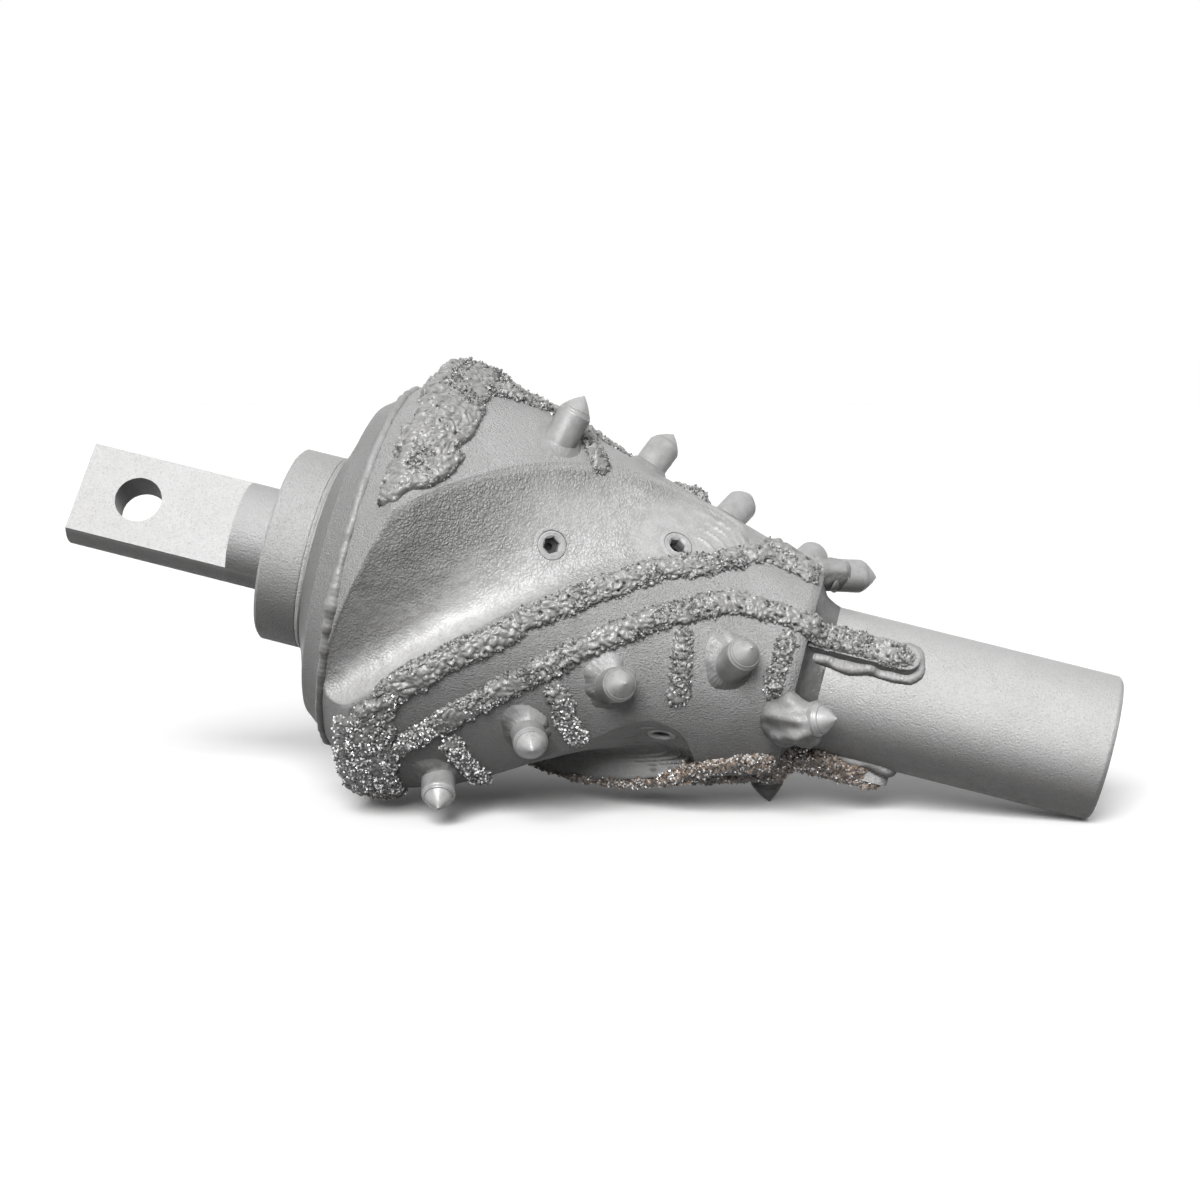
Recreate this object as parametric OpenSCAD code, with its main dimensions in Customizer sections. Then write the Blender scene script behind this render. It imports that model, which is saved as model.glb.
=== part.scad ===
// Button reamer for horizontal directional drilling, with a built-in bearing swivel.
// The tool axis is X. The drill stem's box face is at x = 0 and the swivel tang points to -X.
// An angle round the tool is 0 at -Y and 90 at +Z.

/* [Drill stem] */
// Outside diameter of the drill stem
stem_d = 82.5; // [78:0.5:88]
// Length of stem that stands out in front of the cutter nose
stem_reach = 175; // [150:5:210]
// Bore of the plain counterbore at the mouth of the threaded box
box_counterbore_d = 68.3; // [66:0.1:70]
// Depth of that counterbore
box_counterbore_depth = 16; // [12:1:20]
// Length of the tapered box thread behind the counterbore
box_taper_length = 76; // [60:1:90]
// Taper of the box on diameter, per unit of length
box_taper = 0.25; // [0.2:0.01:0.27]
// Diameter of the fluid bore through the stem
fluid_bore_d = 28; // [22:1:32]
// Chamfer on the edges of the stem's free end
stem_chamfer = 2.5; // [1:0.5:3]

/* [Cutter body] */
// Length of the cutter body from its nose to the back plate
body_length = 250; // [230:5:290]
// Diameter of the body's nose
nose_d = 118; // [112:1:124]
// Largest diameter of the bare lands
gauge_d = 246; // [236:1:256]
// Diameter of the body where it meets the back plate
rear_d = 206; // [198:1:212]
// Length of the chamfer between the back plate and the gauge
rear_chamfer_length = 21.5; // [18:0.5:26]
// Length of the cylindrical part between that chamfer and the cone
gauge_length = 11; // [6:0.5:20]
// Axial length in which the spiral would make one whole turn
helix_lead = 753; // [700:1:850]
// Distance from the nose at which the spiral starts to straighten
helix_fade = 65; // [50:1:75]
// Length over which it straightens
helix_fade_length = 50; // [35:1:50]

/* [Flutes] */
// Angle that a flute takes up at the land surface
flute_angle = 52; // [44:1:58]
// Diameter of the flute floor at the back plate
floor_rear_d = 206; // [196:1:210]
// Fall of the floor radius per unit of length towards the nose
floor_slope = 0.22; // [0.18:0.01:0.23]
// Distance from the nose to the front end of a flute
flute_end = 43; // [35:1:55]
// Length over which a flute closes
flute_runout = 44; // [30:1:55]
// Steepness of the leading wall, smaller is steeper
wall_power = 0.3; // [0.25:0.01:0.5]

/* [Hardfacing] */
// Width of a hardfacing bead
bead_w = 14; // [10:0.5:17]
// Height of a bead above the land
bead_h = 4.5; // [3:0.1:6]
// Thickness of the hardfacing pad over the gauge corner
pad_h = 5; // [3:0.1:6]
// Depth to which the deposits are fused into the body
fusion = 0.6; // [0.5:0.1:1.5]

/* [Tail ribs] */
// Width of the rib that runs from each wing along the stem
rib_w = 15; // [11:0.5:18]
// Height of the rib above the stem
rib_h = 9; // [6:0.5:11]
// Length of the rib in front of the nose
rib_length = 62; // [45:1:80]

/* [Conical bits] */
// Diameter of a bit's steel shank
bit_d = 19; // [16:0.5:20]
// Length of shank that stands out of the land
bit_stand = 20; // [16:0.5:24]
// Depth of the socket in the land
bit_socket = 13; // [9:0.5:15]
// Diameter of the carbide cone where it meets the shank
carbide_d = 15.5; // [13:0.5:16]
// Height of the carbide cone
carbide_h = 8.5; // [7:0.5:12]
// Height of the weld collar round a bit
collar_h = 8; // [5:0.5:10]

/* [Jets] */
// Diameter of a screwed-in jet
jet_d = 16.5; // [14:0.5:18]
// Length of a jet
jet_length = 12; // [9:0.5:14]
// Width across flats of its hexagon socket
jet_hex = 8; // [6:0.5:9]
// Diameter of the port that feeds it
port_d = 8; // [6:0.5:9]

/* [Back plate and swivel housing] */
// Thickness of the domed back plate at its hub
plate_thickness = 28; // [24:1:34]
// Length of the cylinder-side chamfer on the plate's rim
plate_rim = 15; // [12:1:18]
// Diameter of the plate's outer edge at the rear
plate_edge_d = 182; // [174:1:188]
// Diameter of the swivel housing
housing_d = 112; // [108:1:118]
// Length of housing that shows behind the plate
housing_strip = 3; // [2:0.5:6]
// Thickness of the bulkhead between the mud bore and the grease
bulkhead = 8; // [6:0.5:12]
// Length of the screwed end cap's visible flange
cap_length = 24.5; // [20:0.5:30]
// Length of the cap's threaded spigot
spigot_length = 18; // [14:0.5:20]
// Diameter of that thread
spigot_d = 92; // [91:0.5:96]

/* [Swivel spindle and tang] */
// Diameter of the spindle bar
spindle_d = 59.5; // [57:0.5:62]
// Length of round bar that shows between the cap and the flats
neck_length = 25.5; // [20:0.5:32]
// Length of the flats
tang_length = 96; // [85:1:110]
// Thickness of the tang across the flats
tang_thickness = 24.5; // [20:0.5:28]
// Diameter of the pin hole
pin_hole_d = 27; // [22:0.5:30]
// Distance of the pin hole from the tang's free end
pin_hole_inset = 35; // [28:1:42]
// Angle at which the tang's face looks up from -Y
tang_roll = 28; // [0:1:60]
// Diameter of the bearing journal
journal_d = 55; // [52:0.5:56]
// Diameter of the threaded spindle end
spindle_thread_d = 48; // [44:0.5:50]

/* [Bearings] */
// Width of each tapered roller bearing
bearing_w = 23; // [21:0.5:25]
// Outside diameter of the bearing cups
cup_d = 88; // [87:0.5:90]
// Slope of the rollers to the axis
roller_slope = 12; // [10:0.5:13]
// Diameter of a roller
roller_d = 8; // [7:0.5:8.5]
// Number of rollers in a bearing
rollers = 16; // [12:1:18]
// Gap between the two bearings
bearing_gap = 14; // [10:0.5:18]

/* [Hidden] */
// Spiral wings: each has its own bits, hardfacing and rib
wings = 3;
wing_names = ["a", "b", "c"];
// Clearances between pieces
fit = 0.1;
run = 0.05;
shaft_run = 0.3;
// Longer than any hole is deep
through = 40;
$fn = 96;

// Stations along the tool
nose_x = -stem_reach;
plate_x = nose_x - body_length;
hub_x = plate_x - plate_thickness;
cap_x = hub_x - housing_strip;
cap_end_x = cap_x - cap_length;
flats_x = cap_end_x - neck_length;
tang_end_x = flats_x - tang_length;
pin_x = tang_end_x + pin_hole_inset;

// Swivel bore, from the cap inwards
spigot_x = cap_x + spigot_length;
cup_inset = 1;
rear_bearing_x = spigot_x + fit - cup_inset;
front_bearing_x = rear_bearing_x + bearing_w + bearing_gap;
shoulder_x = front_bearing_x + bearing_w;
cup_stop_x = shoulder_x - cup_inset + fit;
nut_w = 15;
lock_washer_w = 2;
nut_x = shoulder_x + lock_washer_w + fit;
end_room = 3;
spindle_end_x = nut_x + nut_w + end_room;
cavity_end_x = spindle_end_x + end_room;
housing_end_x = cavity_end_x + bulkhead;
stem_end_x = housing_end_x + fit;
stem_floor = 12;
fluid_end_x = stem_end_x + stem_floor;

// Cone and helix
wing_step = 360 / wings;
helix_rate = 360 / helix_lead;
fade_x = nose_x - helix_fade;
gauge_rear_x = plate_x + rear_chamfer_length;
gauge_front_x = gauge_rear_x + gauge_length;
cone_slope = (gauge_d - nose_d) / 2 / (nose_x - gauge_front_x);
flute_close_x = nose_x - flute_end;
runout_x = flute_close_x - flute_runout;

// Angles on a wing, measured from its second bead
ridge_angle = 22.7;
first_bead = 20;
leading_edge = 26;
trailing_edge = leading_edge + flute_angle - wing_step;

// Helpers
function spin(a) = [0, -cos(a), sin(a)];
function at(x, r, a) = [x, -r * cos(a), r * sin(a)];
function unit(v) = v / norm(v);
module bar_x(x0, x1, d, d2 = undef) {
    translate([x0, 0, 0]) rotate([0, 90, 0]) cylinder(h = x1 - x0, d1 = d, d2 = is_undef(d2) ? d : d2);
}
// Revolves a profile of [x, r] points round the tool axis
module revolve_x(profile) {
    rotate([0, 90, 0]) rotate_extrude() polygon([for (p = profile) [p[1], p[0]]]);
}
// Turns a child that points along +Z to point outwards at angle a
module at_angle(a) {
    rotate([90 - a, 0, 0]) children();
}

// Radius of the bare land at station x
function land_r(x) = min(
    rear_d / 2 + (x - plate_x) * (gauge_d - rear_d) / 2 / rear_chamfer_length,
    gauge_d / 2,
    nose_d / 2 + (nose_x - x) * cone_slope);
// Angle of wing 0's second bead: a helix that straightens near the nose
function ridge(x) = ridge_angle + (x <= fade_x
    ? helix_rate * (x - fade_x)
    : helix_rate * min(x - fade_x, helix_fade_length)
        * (1 - min(x - fade_x, helix_fade_length) / helix_fade_length / 2));
// How far the flute is open at x: 1 along its length, falling to 0 in a quarter ellipse at its front end
function opening(x) = x <= runout_x ? 1
    : x >= flute_close_x ? 0
    : sqrt(1 - pow((x - runout_x) / flute_runout, 2));
min_flute_angle = 10;
function flute_width(x) = max(min_flute_angle, flute_angle * opening(x));
function floor_r(x) = floor_rear_d / 2 - floor_slope * (x - plate_x);
function flute_depth(x) = max(0, land_r(x) - floor_r(x)) * opening(x);
// Section of a flute: steep at its leading wall, deepest near it, and a long rise behind
deepest = wall_power / (1 + wall_power);
function flute_shape(u) = u <= 0 || u >= 1 ? 0 : pow(u / deepest, wall_power) * (1 - u) / (1 - deepest);
// Radius of the fluted body at station x and angle a
function wrap(a) = a - wing_step * floor(a / wing_step);
function into_flute(x, a) = wrap(a - ridge(x) - leading_edge) / flute_width(x);
function body_r(x, a) = land_r(x) - flute_depth(x) * flute_shape(into_flute(x, a));

// Stations of the body's sections
function even(a, b, n) = [for (i = [0:n - 1]) a + (b - a) * i / n];
body_stations = concat(
    even(plate_x, gauge_rear_x, 3),
    even(gauge_rear_x, gauge_front_x, 2),
    even(gauge_front_x, runout_x, 12),
    [for (i = [0:8]) runout_x + flute_runout * sin(i * 90 / 9)],
    even(flute_close_x, nose_x, 4),
    [nose_x]);
flute_steps = 12;
flute_crowding = 1.6;
land_steps = 8;
function section(x) = [for (w = [0:wings - 1], i = [0:flute_steps + land_steps - 1])
    let (
        start = ridge(x) + leading_edge + w * wing_step,
        wide = flute_width(x),
        u = pow(i / flute_steps, flute_crowding),
        a = i <= flute_steps ? start + wide * u
            : start + wide + (wing_step - wide) * (i - flute_steps) / land_steps,
        r = i < flute_steps ? land_r(x) - flute_depth(x) * flute_shape(u) : land_r(x))
    at(x, r, a)];
// Skins a list of closed sections of equal length into a solid
module skin(sections) {
    n = len(sections[0]);
    m = len(sections);
    polyhedron(
        points = [for (s = sections, p = s) p],
        faces = concat(
            [[for (i = [n - 1:-1:0]) i]],
            [[for (i = [0:n - 1]) (m - 1) * n + i]],
            [for (j = [0:m - 2], i = [0:n - 1]) let (k = (i + 1) % n)
                [j * n + i, j * n + k, (j + 1) * n + k]],
            [for (j = [0:m - 2], i = [0:n - 1]) let (k = (i + 1) % n)
                [j * n + i, (j + 1) * n + k, (j + 1) * n + i]]));
}

// Sockets of each wing's bits, staggered from wing to wing:
// share of the body's length behind the nose, and angle from the second bead
bit_places = [
    [[0.72, -25.5], [0.54, -23], [0.384, -20.5], [0.146, -28], [-0.006, -51]],
    [[0.634, -30], [0.452, -15.5], [0.252, -28.5], [0.062, -31], [-0.016, -38]],
    [[0.68, -26], [0.492, -22], [0.284, -24], [0.038, -32], [-0.012, -56]]
];
// How a bit leans: towards the nose, and towards the wing's leading edge
bit_leans = [[15, 27], [17, 24], [19, 29], [19, 30], [58, 52]];
nose_bit = 4;
nose_bit_stand = 4;
nose_bit_socket = 3;
function socket(i) = i == nose_bit ? nose_bit_socket : bit_socket;
function bit_x(w, i) = nose_x - body_length * bit_places[w][i][0];
function bit_a(w, i) = ridge(bit_x(w, i)) + bit_places[w][i][1] + w * wing_step;
// Puts a child that stands on z = 0 at the mouth of a bit's socket, along the bit's own axis
module at_bit(w, i) {
    a = bit_a(w, i);
    r = land_r(bit_x(w, i)) + (i == nose_bit ? nose_bit_stand : 0);
    along = cos(bit_leans[i][0]) * spin(a + bit_leans[i][1]) + [sin(bit_leans[i][0]), 0, 0];
    translate(at(bit_x(w, i), r, a))
        rotate([0, acos(along[2]), atan2(along[1], along[0])])
            children();
}

// Jets, two in each flute: wing, share of the body's length behind the nose, angle from the second bead
jet_places = [
    [0, 0.584, 49], [0, 0.328, 45],
    [2, 0.584, 49], [2, 0.26, 59],
    [1, 0.584, 49], [1, 0.328, 45]
];
jet_sink = 1;
function jet_x(i) = nose_x - body_length * jet_places[i][1];
function jet_a(i) = ridge(jet_x(i)) + jet_places[i][2] + jet_places[i][0] * wing_step;
function jet_seat_r(i) = body_r(jet_x(i), jet_a(i)) - jet_sink;
module at_jet(i) {
    translate([jet_x(i), 0, 0]) at_angle(jet_a(i)) children();
}
jet_seat_gap = 0.5;
port_start_r = stem_d / 2 - 2;
module jet_hole(i) {
    at_jet(i) {
        translate([0, 0, port_start_r]) cylinder(h = jet_seat_r(i) - port_start_r, d = port_d);
        translate([0, 0, jet_seat_r(i) - jet_length - jet_seat_gap])
            cylinder(h = through, d = jet_d + 2 * fit);
    }
}

// Drill stem
module drill_stem() {
    r = stem_d / 2;
    box_end_x = -box_counterbore_depth - box_taper_length;
    box_mouth_d = box_counterbore_d - 2;
    color("silver") difference() {
        revolve_x([
            [stem_end_x, 0], [stem_end_x, r], [-stem_chamfer, r], [0, r - stem_chamfer], [0, 0]
        ]);
        bar_x(fluid_end_x, 1, fluid_bore_d);
        bar_x(-box_counterbore_depth, 1, box_counterbore_d);
        bar_x(box_end_x, -box_counterbore_depth,
            box_mouth_d - box_taper * box_taper_length, box_mouth_d);
        for (i = [0:len(jet_places) - 1])
            at_jet(i) cylinder(h = stem_d, d = port_d);
    }
}

// Cutter body
module cutter_body() {
    color("silver") difference() {
        skin([for (x = body_stations) section(x)]);
        bar_x(plate_x - 1, nose_x + 1, stem_d + 2 * fit);
        bar_x(plate_x - 1, housing_end_x + 0.5, housing_d + 2 * fit);
        for (i = [0:len(jet_places) - 1]) jet_hole(i);
        for (w = [0:wings - 1], i = [0:len(bit_leans) - 1])
            at_bit(w, i) translate([0, 0, -socket(i) - fit]) cylinder(h = through, d = bit_d + 2 * fit);
    }
}

// Welded plates and beads at the two ends of the body
seam_w = 3;
module back_plate() {
    bore_r = housing_d / 2 + fit;
    color("silver") revolve_x([
        [plate_x, bore_r], [plate_x, rear_d / 2], [plate_x - plate_rim, plate_edge_d / 2],
        [hub_x, bore_r + 1], [hub_x, bore_r]
    ]);
}
module rim_weld() {
    color("silver") rotate([0, 90, 0]) rotate_extrude() translate([rear_d / 2, plate_x]) circle(d = seam_w);
}
nose_leg = 7;
nose_weld_length = 6;
module nose_weld() {
    r = stem_d / 2 + fit;
    color("silver") revolve_x([
        [nose_x, r], [nose_x, r + nose_leg],
        [nose_x + nose_weld_length / 3, r + nose_leg * 0.64], [nose_x + nose_weld_length, r]
    ]);
}
hub_leg = 0.9;
module hub_weld() {
    r = housing_d / 2 + fit;
    color("silver") revolve_x([[hub_x, r], [hub_x, r + hub_leg], [hub_x - housing_strip / 2, r]]);
}

// Ribs along the stem in line with the wings
rib_top = stem_d / 2 + rib_h;
module tail_rib(w) {
    a = ridge(nose_x) + w * wing_step;
    color("silver") difference() {
        at_angle(a) {
            translate([nose_x + fit, -rib_w / 2, 0]) cube([rib_length - rib_w / 2, rib_w, rib_top]);
            translate([nose_x + rib_length - rib_w / 2, 0, 0]) cylinder(h = rib_top, d = rib_w);
        }
        bar_x(nose_x - 1, nose_x + rib_length + 1, stem_d + 2 * fit);
        nose_weld_room();
    }
}
module nose_weld_room() {
    r = stem_d / 2;
    revolve_x([
        [nose_x - 1, r - 1], [nose_x - 1, r + nose_leg + 1],
        [nose_x + 1, r + nose_leg + 1], [nose_x + nose_weld_length + 1, r - 1]
    ]);
}

// Hardfacing
slope_step = 0.5;
function land_slope(x) = (land_r(x + slope_step) - land_r(x - slope_step)) / 2 / slope_step;
function land_normal(x, a) = unit([-land_slope(x), 0, 0] + spin(a));
// Sections of a bead along a path of [point, outward direction]
bead_outline = [[-0.5, -1], [-0.42, 0.55], [-0.15, 1], [0.15, 1], [0.42, 0.55], [0.5, -1]];
bead_end = 0.55;
function bead_sections(path, wide, high) = [for (i = [0:len(path) - 1])
    let (
        last = len(path) - 1,
        t = unit(path[min(i + 1, last)][0] - path[max(i - 1, 0)][0]),
        n = unit(path[i][1] - t * (path[i][1] * t)),
        s = cross(n, t),
        taper = i == 0 || i == last ? bead_end : 1)
    [for (p = bead_outline)
        path[i][0] + s * p[0] * wide * taper + n * (p[1] < 0 ? -fusion : p[1] * high * taper)]];
module bead(path, wide = bead_w, high = bead_h) {
    skin(bead_sections(path, wide, high));
}
function on_body(x, a) = [at(x, body_r(x, a), a), land_normal(x, a)];
// The beads start under the front border of the pad over the gauge corner.
// The first bead follows the leading edge and swings round the closed end of the flute
pad_rear_x = plate_x + body_length * 0.048;
pad_front_x = plate_x + body_length * 0.2;
pad_lap = 3;
bead_rear_x = pad_front_x - pad_lap;
bead_swing = 14;
bead_swing_length = 28;
function ramp(t) = t <= 0 ? 0 : t >= 1 ? 1 : t * t * (3 - 2 * t);
function swing(x) = bead_swing * ramp((x - flute_close_x) / bead_swing_length + 0.6);
function first_bead_a(x) = ridge(x) + first_bead + swing(x);
function first_bead_path(w) = [for (x = even(bead_rear_x, nose_x - 1, 24))
    on_body(x, first_bead_a(x) + w * wing_step)];
// A third, short bead fills the corner between the closed end of the flute and the nose
patch_turn = 12;
patch_share = 0.8;
patch_end = 3;
function patch_path(w) = [for (x = even(nose_x - flute_end * patch_share, nose_x - patch_end, 8))
    on_body(x, first_bead_a(x) + patch_turn + w * wing_step)];
// The second bead runs over the corner of the nose and along the tail rib
function second_bead_path(w) = let (a = ridge(nose_x) + w * wing_step, up = spin(a), front = [1, 0, 0])
concat(
    [for (x = even(bead_rear_x, nose_x - 5, 21)) on_body(x, ridge(x) + w * wing_step)],
    [[at(nose_x - 5, land_r(nose_x - 5), a), up]],
    [[at(nose_x, nose_d / 2, a), unit(up + 0.7 * front)]],
    [[at(nose_x + 2.5, (nose_d / 2 + rib_top) / 2, a), unit(up + front)]],
    [for (t = [0.13, 0.4, 0.7, 0.95]) [at(nose_x + rib_length * t, rib_top, a), up]]);
// Strips across the land: share of the way from one bit to the next, and angle, at each end
strips = [[0.1, -7, 0.57, -46], [0.23, -7, 0.74, -43], [0.5, -7, 0.62, -43], [0.7, -7, 0.62, -42]];
function has_strip(w, i) = bit_x(w, i + 1) - bit_x(w, i) > bit_d + strip_w;
strip_steps = 5;
function strip_path(w, i) = let (s = strips[i]) [for (k = [0:strip_steps]) let (
    t = k / strip_steps,
    share = s[0] + (s[2] - s[0]) * t,
    x = bit_x(w, i) + (bit_x(w, i + 1) - bit_x(w, i)) * share)
    on_body(x, ridge(x) + s[1] + (s[3] - s[1]) * t + w * wing_step)];
// A closed plate between two grids of points, given row by row with n points in each row
module slab(top, bottom, n) {
    m = len(top) / n;
    cells = [for (j = [0:m - 2], i = [0:n - 2]) let (k = j * n + i) [k, k + 1, k + n + 1, k + n]];
    rim = concat(
        [for (i = [0:n - 2]) i],
        [for (j = [0:m - 2]) j * n + n - 1],
        [for (i = [n - 1:-1:1]) (m - 1) * n + i],
        [for (j = [m - 1:-1:0]) j * n]);
    last = len(rim) - 1;
    under = n * m;
    polyhedron(
        points = concat(top, bottom),
        faces = concat(
            [for (c = cells) [c[0], c[1], c[2]]],
            [for (c = cells) [c[0], c[2], c[3]]],
            [for (c = cells) [under + c[0], under + c[2], under + c[1]]],
            [for (c = cells) [under + c[0], under + c[3], under + c[2]]],
            [for (k = [0:last - 1]) [rim[k], under + rim[k], rim[k + 1]]],
            [for (k = [0:last - 1]) [rim[k + 1], under + rim[k], under + rim[k + 1]]]));
}
// Pad over the gauge corner of a land, thin at its border
pad_x_steps = 6;
pad_a_steps = 9;
pad_border = 0.45;
module gauge_pad(w) {
    spots = [for (j = [0:pad_x_steps], i = [0:pad_a_steps]) let (
        x = pad_rear_x + (pad_front_x - pad_rear_x) * j / pad_x_steps,
        share = i / pad_a_steps,
        a = ridge(x) + trailing_edge + 1 + (leading_edge - trailing_edge - 2) * share + w * wing_step,
        border = i == 0 || i == pad_a_steps || j == 0 || j == pad_x_steps)
        concat(on_body(x, a), border ? pad_border : 1)];
    top = [for (s = spots) s[0] + s[1] * pad_h * s[2]];
    bottom = [for (s = spots) s[0] - s[1] * fusion];
    slab(top, bottom, pad_a_steps + 1);
}
strip_w = bead_w * 0.85;
strip_h = bead_h * 0.9;
module hardfacing(w) {
    color("darkgray") {
        gauge_pad(w);
        bead(first_bead_path(w));
        bead(second_bead_path(w));
        bead(patch_path(w));
        for (i = [0:len(strips) - 1]) if (has_strip(w, i)) bead(strip_path(w, i), strip_w, strip_h);
    }
}

// Conical bits with their weld collars and carbide tips
bit_nose = 2.5;
bit_rim = 0.5;
stud_r = carbide_d * 0.3;
stud_length = 3.5;
module bit(w, i) {
    pocket_r = stud_r + fit;
    pocket_z = bit_stand - stud_length - bit_rim;
    color("gray") at_bit(w, i) rotate_extrude() polygon([
        [0, -socket(i)], [bit_d / 2, -socket(i)], [bit_d / 2, bit_stand - bit_nose],
        [carbide_d / 2 + bit_rim, bit_stand], [pocket_r, bit_stand], [pocket_r, pocket_z], [0, pocket_z]
    ]);
}
carbide_point = 2;
module carbide_tip(w, i) {
    color("dimgray") at_bit(w, i) translate([0, 0, bit_stand]) rotate_extrude() polygon([
        [0, -stud_length], [stud_r, -stud_length], [stud_r, fit], [carbide_d / 2, fit],
        [carbide_point / 2, carbide_h], [0, carbide_h]
    ]);
}
collar_flare = 18;
collar_root = 12;
collar_lip = 1.5;
module bit_welds(w) {
    color("silver") difference() {
        for (i = [0:len(bit_leans) - 1])
            at_bit(w, i) translate([0, 0, -collar_root])
                cylinder(h = collar_root + collar_h, d1 = bit_d + collar_flare, d2 = bit_d + collar_lip);
        for (i = [0:len(bit_leans) - 1])
            at_bit(w, i) translate([0, 0, -collar_root - 1])
                cylinder(h = collar_root + bit_stand + 1, d = bit_d + 2 * fit);
        land_envelope();
    }
}
// The cone of the bare lands, less the depth to which a weld is fused into it
module land_envelope() {
    r = nose_d / 2 - fusion / 2;
    gauge_r = gauge_d / 2 - fusion / 2;
    revolve_x([
        [gauge_rear_x, 0], [gauge_rear_x, gauge_r], [gauge_front_x, gauge_r], [nose_x, r], [nose_x, 0]
    ]);
}

// Jets
jet_hex_floor = jet_length * 0.45;
jet_nozzle_d = port_d * 0.5;
module jet(i) {
    color("dimgray") at_jet(i) translate([0, 0, jet_seat_r(i) - jet_length]) difference() {
        cylinder(h = jet_length, d = jet_d);
        translate([0, 0, jet_hex_floor]) cylinder(h = jet_length, d = jet_hex / cos(30), $fn = 6);
        translate([0, 0, -1]) cylinder(h = jet_length + 2, d = jet_nozzle_d);
    }
}

// Swivel housing, end cap and seals
cup_seat_d = cup_d + 2 * run;
cavity_d = cup_d - 10;
module swivel_housing() {
    color("silver") difference() {
        bar_x(cap_x, housing_end_x, housing_d);
        bar_x(cap_x - 1, spigot_x + 0.5, spigot_d + 2 * fit);
        bar_x(cap_x, cup_stop_x, cup_seat_d);
        bar_x(cap_x, cavity_end_x, cavity_d);
    }
}
seal_d = 76;
seal_w = 10;
seal_x = cap_end_x + 4;
o_ring_d = 3.2;
o_ring_x = cap_x + 5;
cap_chamfer = 1.5;
grease_passage_d = 3;
module end_cap() {
    shaft_hole_d = spindle_d + 2 * shaft_run;
    color("silver") difference() {
        union() {
            revolve_x([
                [cap_end_x, 0], [cap_end_x, housing_d / 2 - cap_chamfer],
                [cap_end_x + cap_chamfer, housing_d / 2], [cap_x - fit, housing_d / 2], [cap_x - fit, 0]
            ]);
            bar_x(cap_x - 1, spigot_x, spigot_d);
        }
        bar_x(cap_end_x - 1, spigot_x + 1, shaft_hole_d);
        bar_x(seal_x, spigot_x + 1, seal_d + 2 * fit);
        difference() {
            bar_x(o_ring_x - o_ring_d / 2 - fit, o_ring_x + o_ring_d / 2 + fit, spigot_d + 10);
            bar_x(o_ring_x - o_ring_d, o_ring_x + o_ring_d, spigot_d + 2 * fit - 2 * o_ring_d - 4 * run);
        }
        at_angle(grease_angle) {
            translate([grease_x, 0, housing_d / 2 - grease_plug_length])
                cylinder(h = through, d = grease_plug_d + 2 * fit);
            translate([grease_x, 0, 0]) cylinder(h = housing_d / 2, d = grease_passage_d);
        }
    }
}
module cap_o_ring() {
    color("black") rotate([0, 90, 0]) rotate_extrude()
        translate([spigot_d / 2 + fit - run - o_ring_d / 2, o_ring_x]) circle(d = o_ring_d);
}
seal_wall = 2;
seal_web = 3;
module shaft_seal() {
    bore_r = spindle_d / 2 + run;
    lip_x = seal_x + seal_web + seal_wall / 2;
    color("black") revolve_x([
        [seal_x + fit, bore_r + seal_wall], [seal_x + fit, seal_d / 2], [seal_x + seal_w, seal_d / 2],
        [seal_x + seal_w, seal_d / 2 - seal_wall], [seal_x + seal_web, seal_d / 2 - seal_wall],
        [seal_x + seal_web, bore_r + 2 * seal_wall], [lip_x + seal_wall, bore_r + seal_wall],
        [lip_x + seal_wall, bore_r], [lip_x, bore_r]
    ]);
}
grease_angle = 150;
grease_plug_d = 9.5;
grease_plug_length = 7;
grease_x = cap_x - 7;
plug_hex = 5;
plug_hex_floor = 2.5;
module grease_plug() {
    color("dimgray") at_angle(grease_angle)
        translate([grease_x, 0, housing_d / 2 - grease_plug_length + fit]) difference() {
            cylinder(h = grease_plug_length - 1, d = grease_plug_d);
            translate([0, 0, plug_hex_floor])
                cylinder(h = grease_plug_length, d = plug_hex / cos(30), $fn = 6);
        }
}

// Tapered roller bearings. side is 1 where the roller's small end is towards -X
race_lift = 0.6;
roller_mid_r = (cup_d + journal_d) / 4 + race_lift;
roller_length = bearing_w * 0.62;
race_offset = roller_d / 2 + run;
function roller_r(dx, side) = roller_mid_r + side * dx * tan(roller_slope);
function race_r(dx, side, out) = roller_r(dx, side) + out * race_offset / cos(roller_slope);
module bearing_cup(x, side) {
    middle = bearing_w / 2;
    h = middle - cup_inset;
    color("gainsboro") translate([x + middle, 0, 0]) revolve_x([
        [-h, race_r(-h, side, 1)], [-h, cup_d / 2], [h, cup_d / 2], [h, race_r(h, side, 1)]
    ]);
}
// Lips on the cone at the rollers' two ends, clear of their tilted end faces
rib_clear = 0.3;
rib_rise = 1;
function rib_at(side) = roller_length / 2 * cos(roller_slope)
    + side * roller_d / 2 * sin(roller_slope) + rib_clear;
module bearing_cone(x, side) {
    h = bearing_w / 2;
    rear = rib_at(-side);
    front = rib_at(side);
    rear_r = race_r(-rear, side, -1);
    front_r = race_r(front, side, -1);
    bore_r = journal_d / 2 + run;
    color("gainsboro") translate([x + h, 0, 0]) revolve_x([
        [-h, bore_r], [-h, rear_r + rib_rise], [-rear - rib_clear, rear_r + rib_rise],
        [-rear, rear_r], [front, front_r],
        [front + rib_clear, front_r + rib_rise], [h, front_r + rib_rise], [h, bore_r]
    ]);
}
module roller_set(x, side, d, l) {
    for (i = [0:rollers - 1])
        rotate([i * 360 / rollers, 0, 0]) translate([x + bearing_w / 2, 0, roller_mid_r])
            rotate([0, 90 - side * roller_slope, 0]) translate([0, 0, -l / 2]) cylinder(h = l, d = d);
}
module bearing_rollers(x, side) {
    color("gainsboro") roller_set(x, side, roller_d, roller_length);
}
cage_reach = 2;
cage_wall = 1.5;
cage_room = 0.2;
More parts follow.
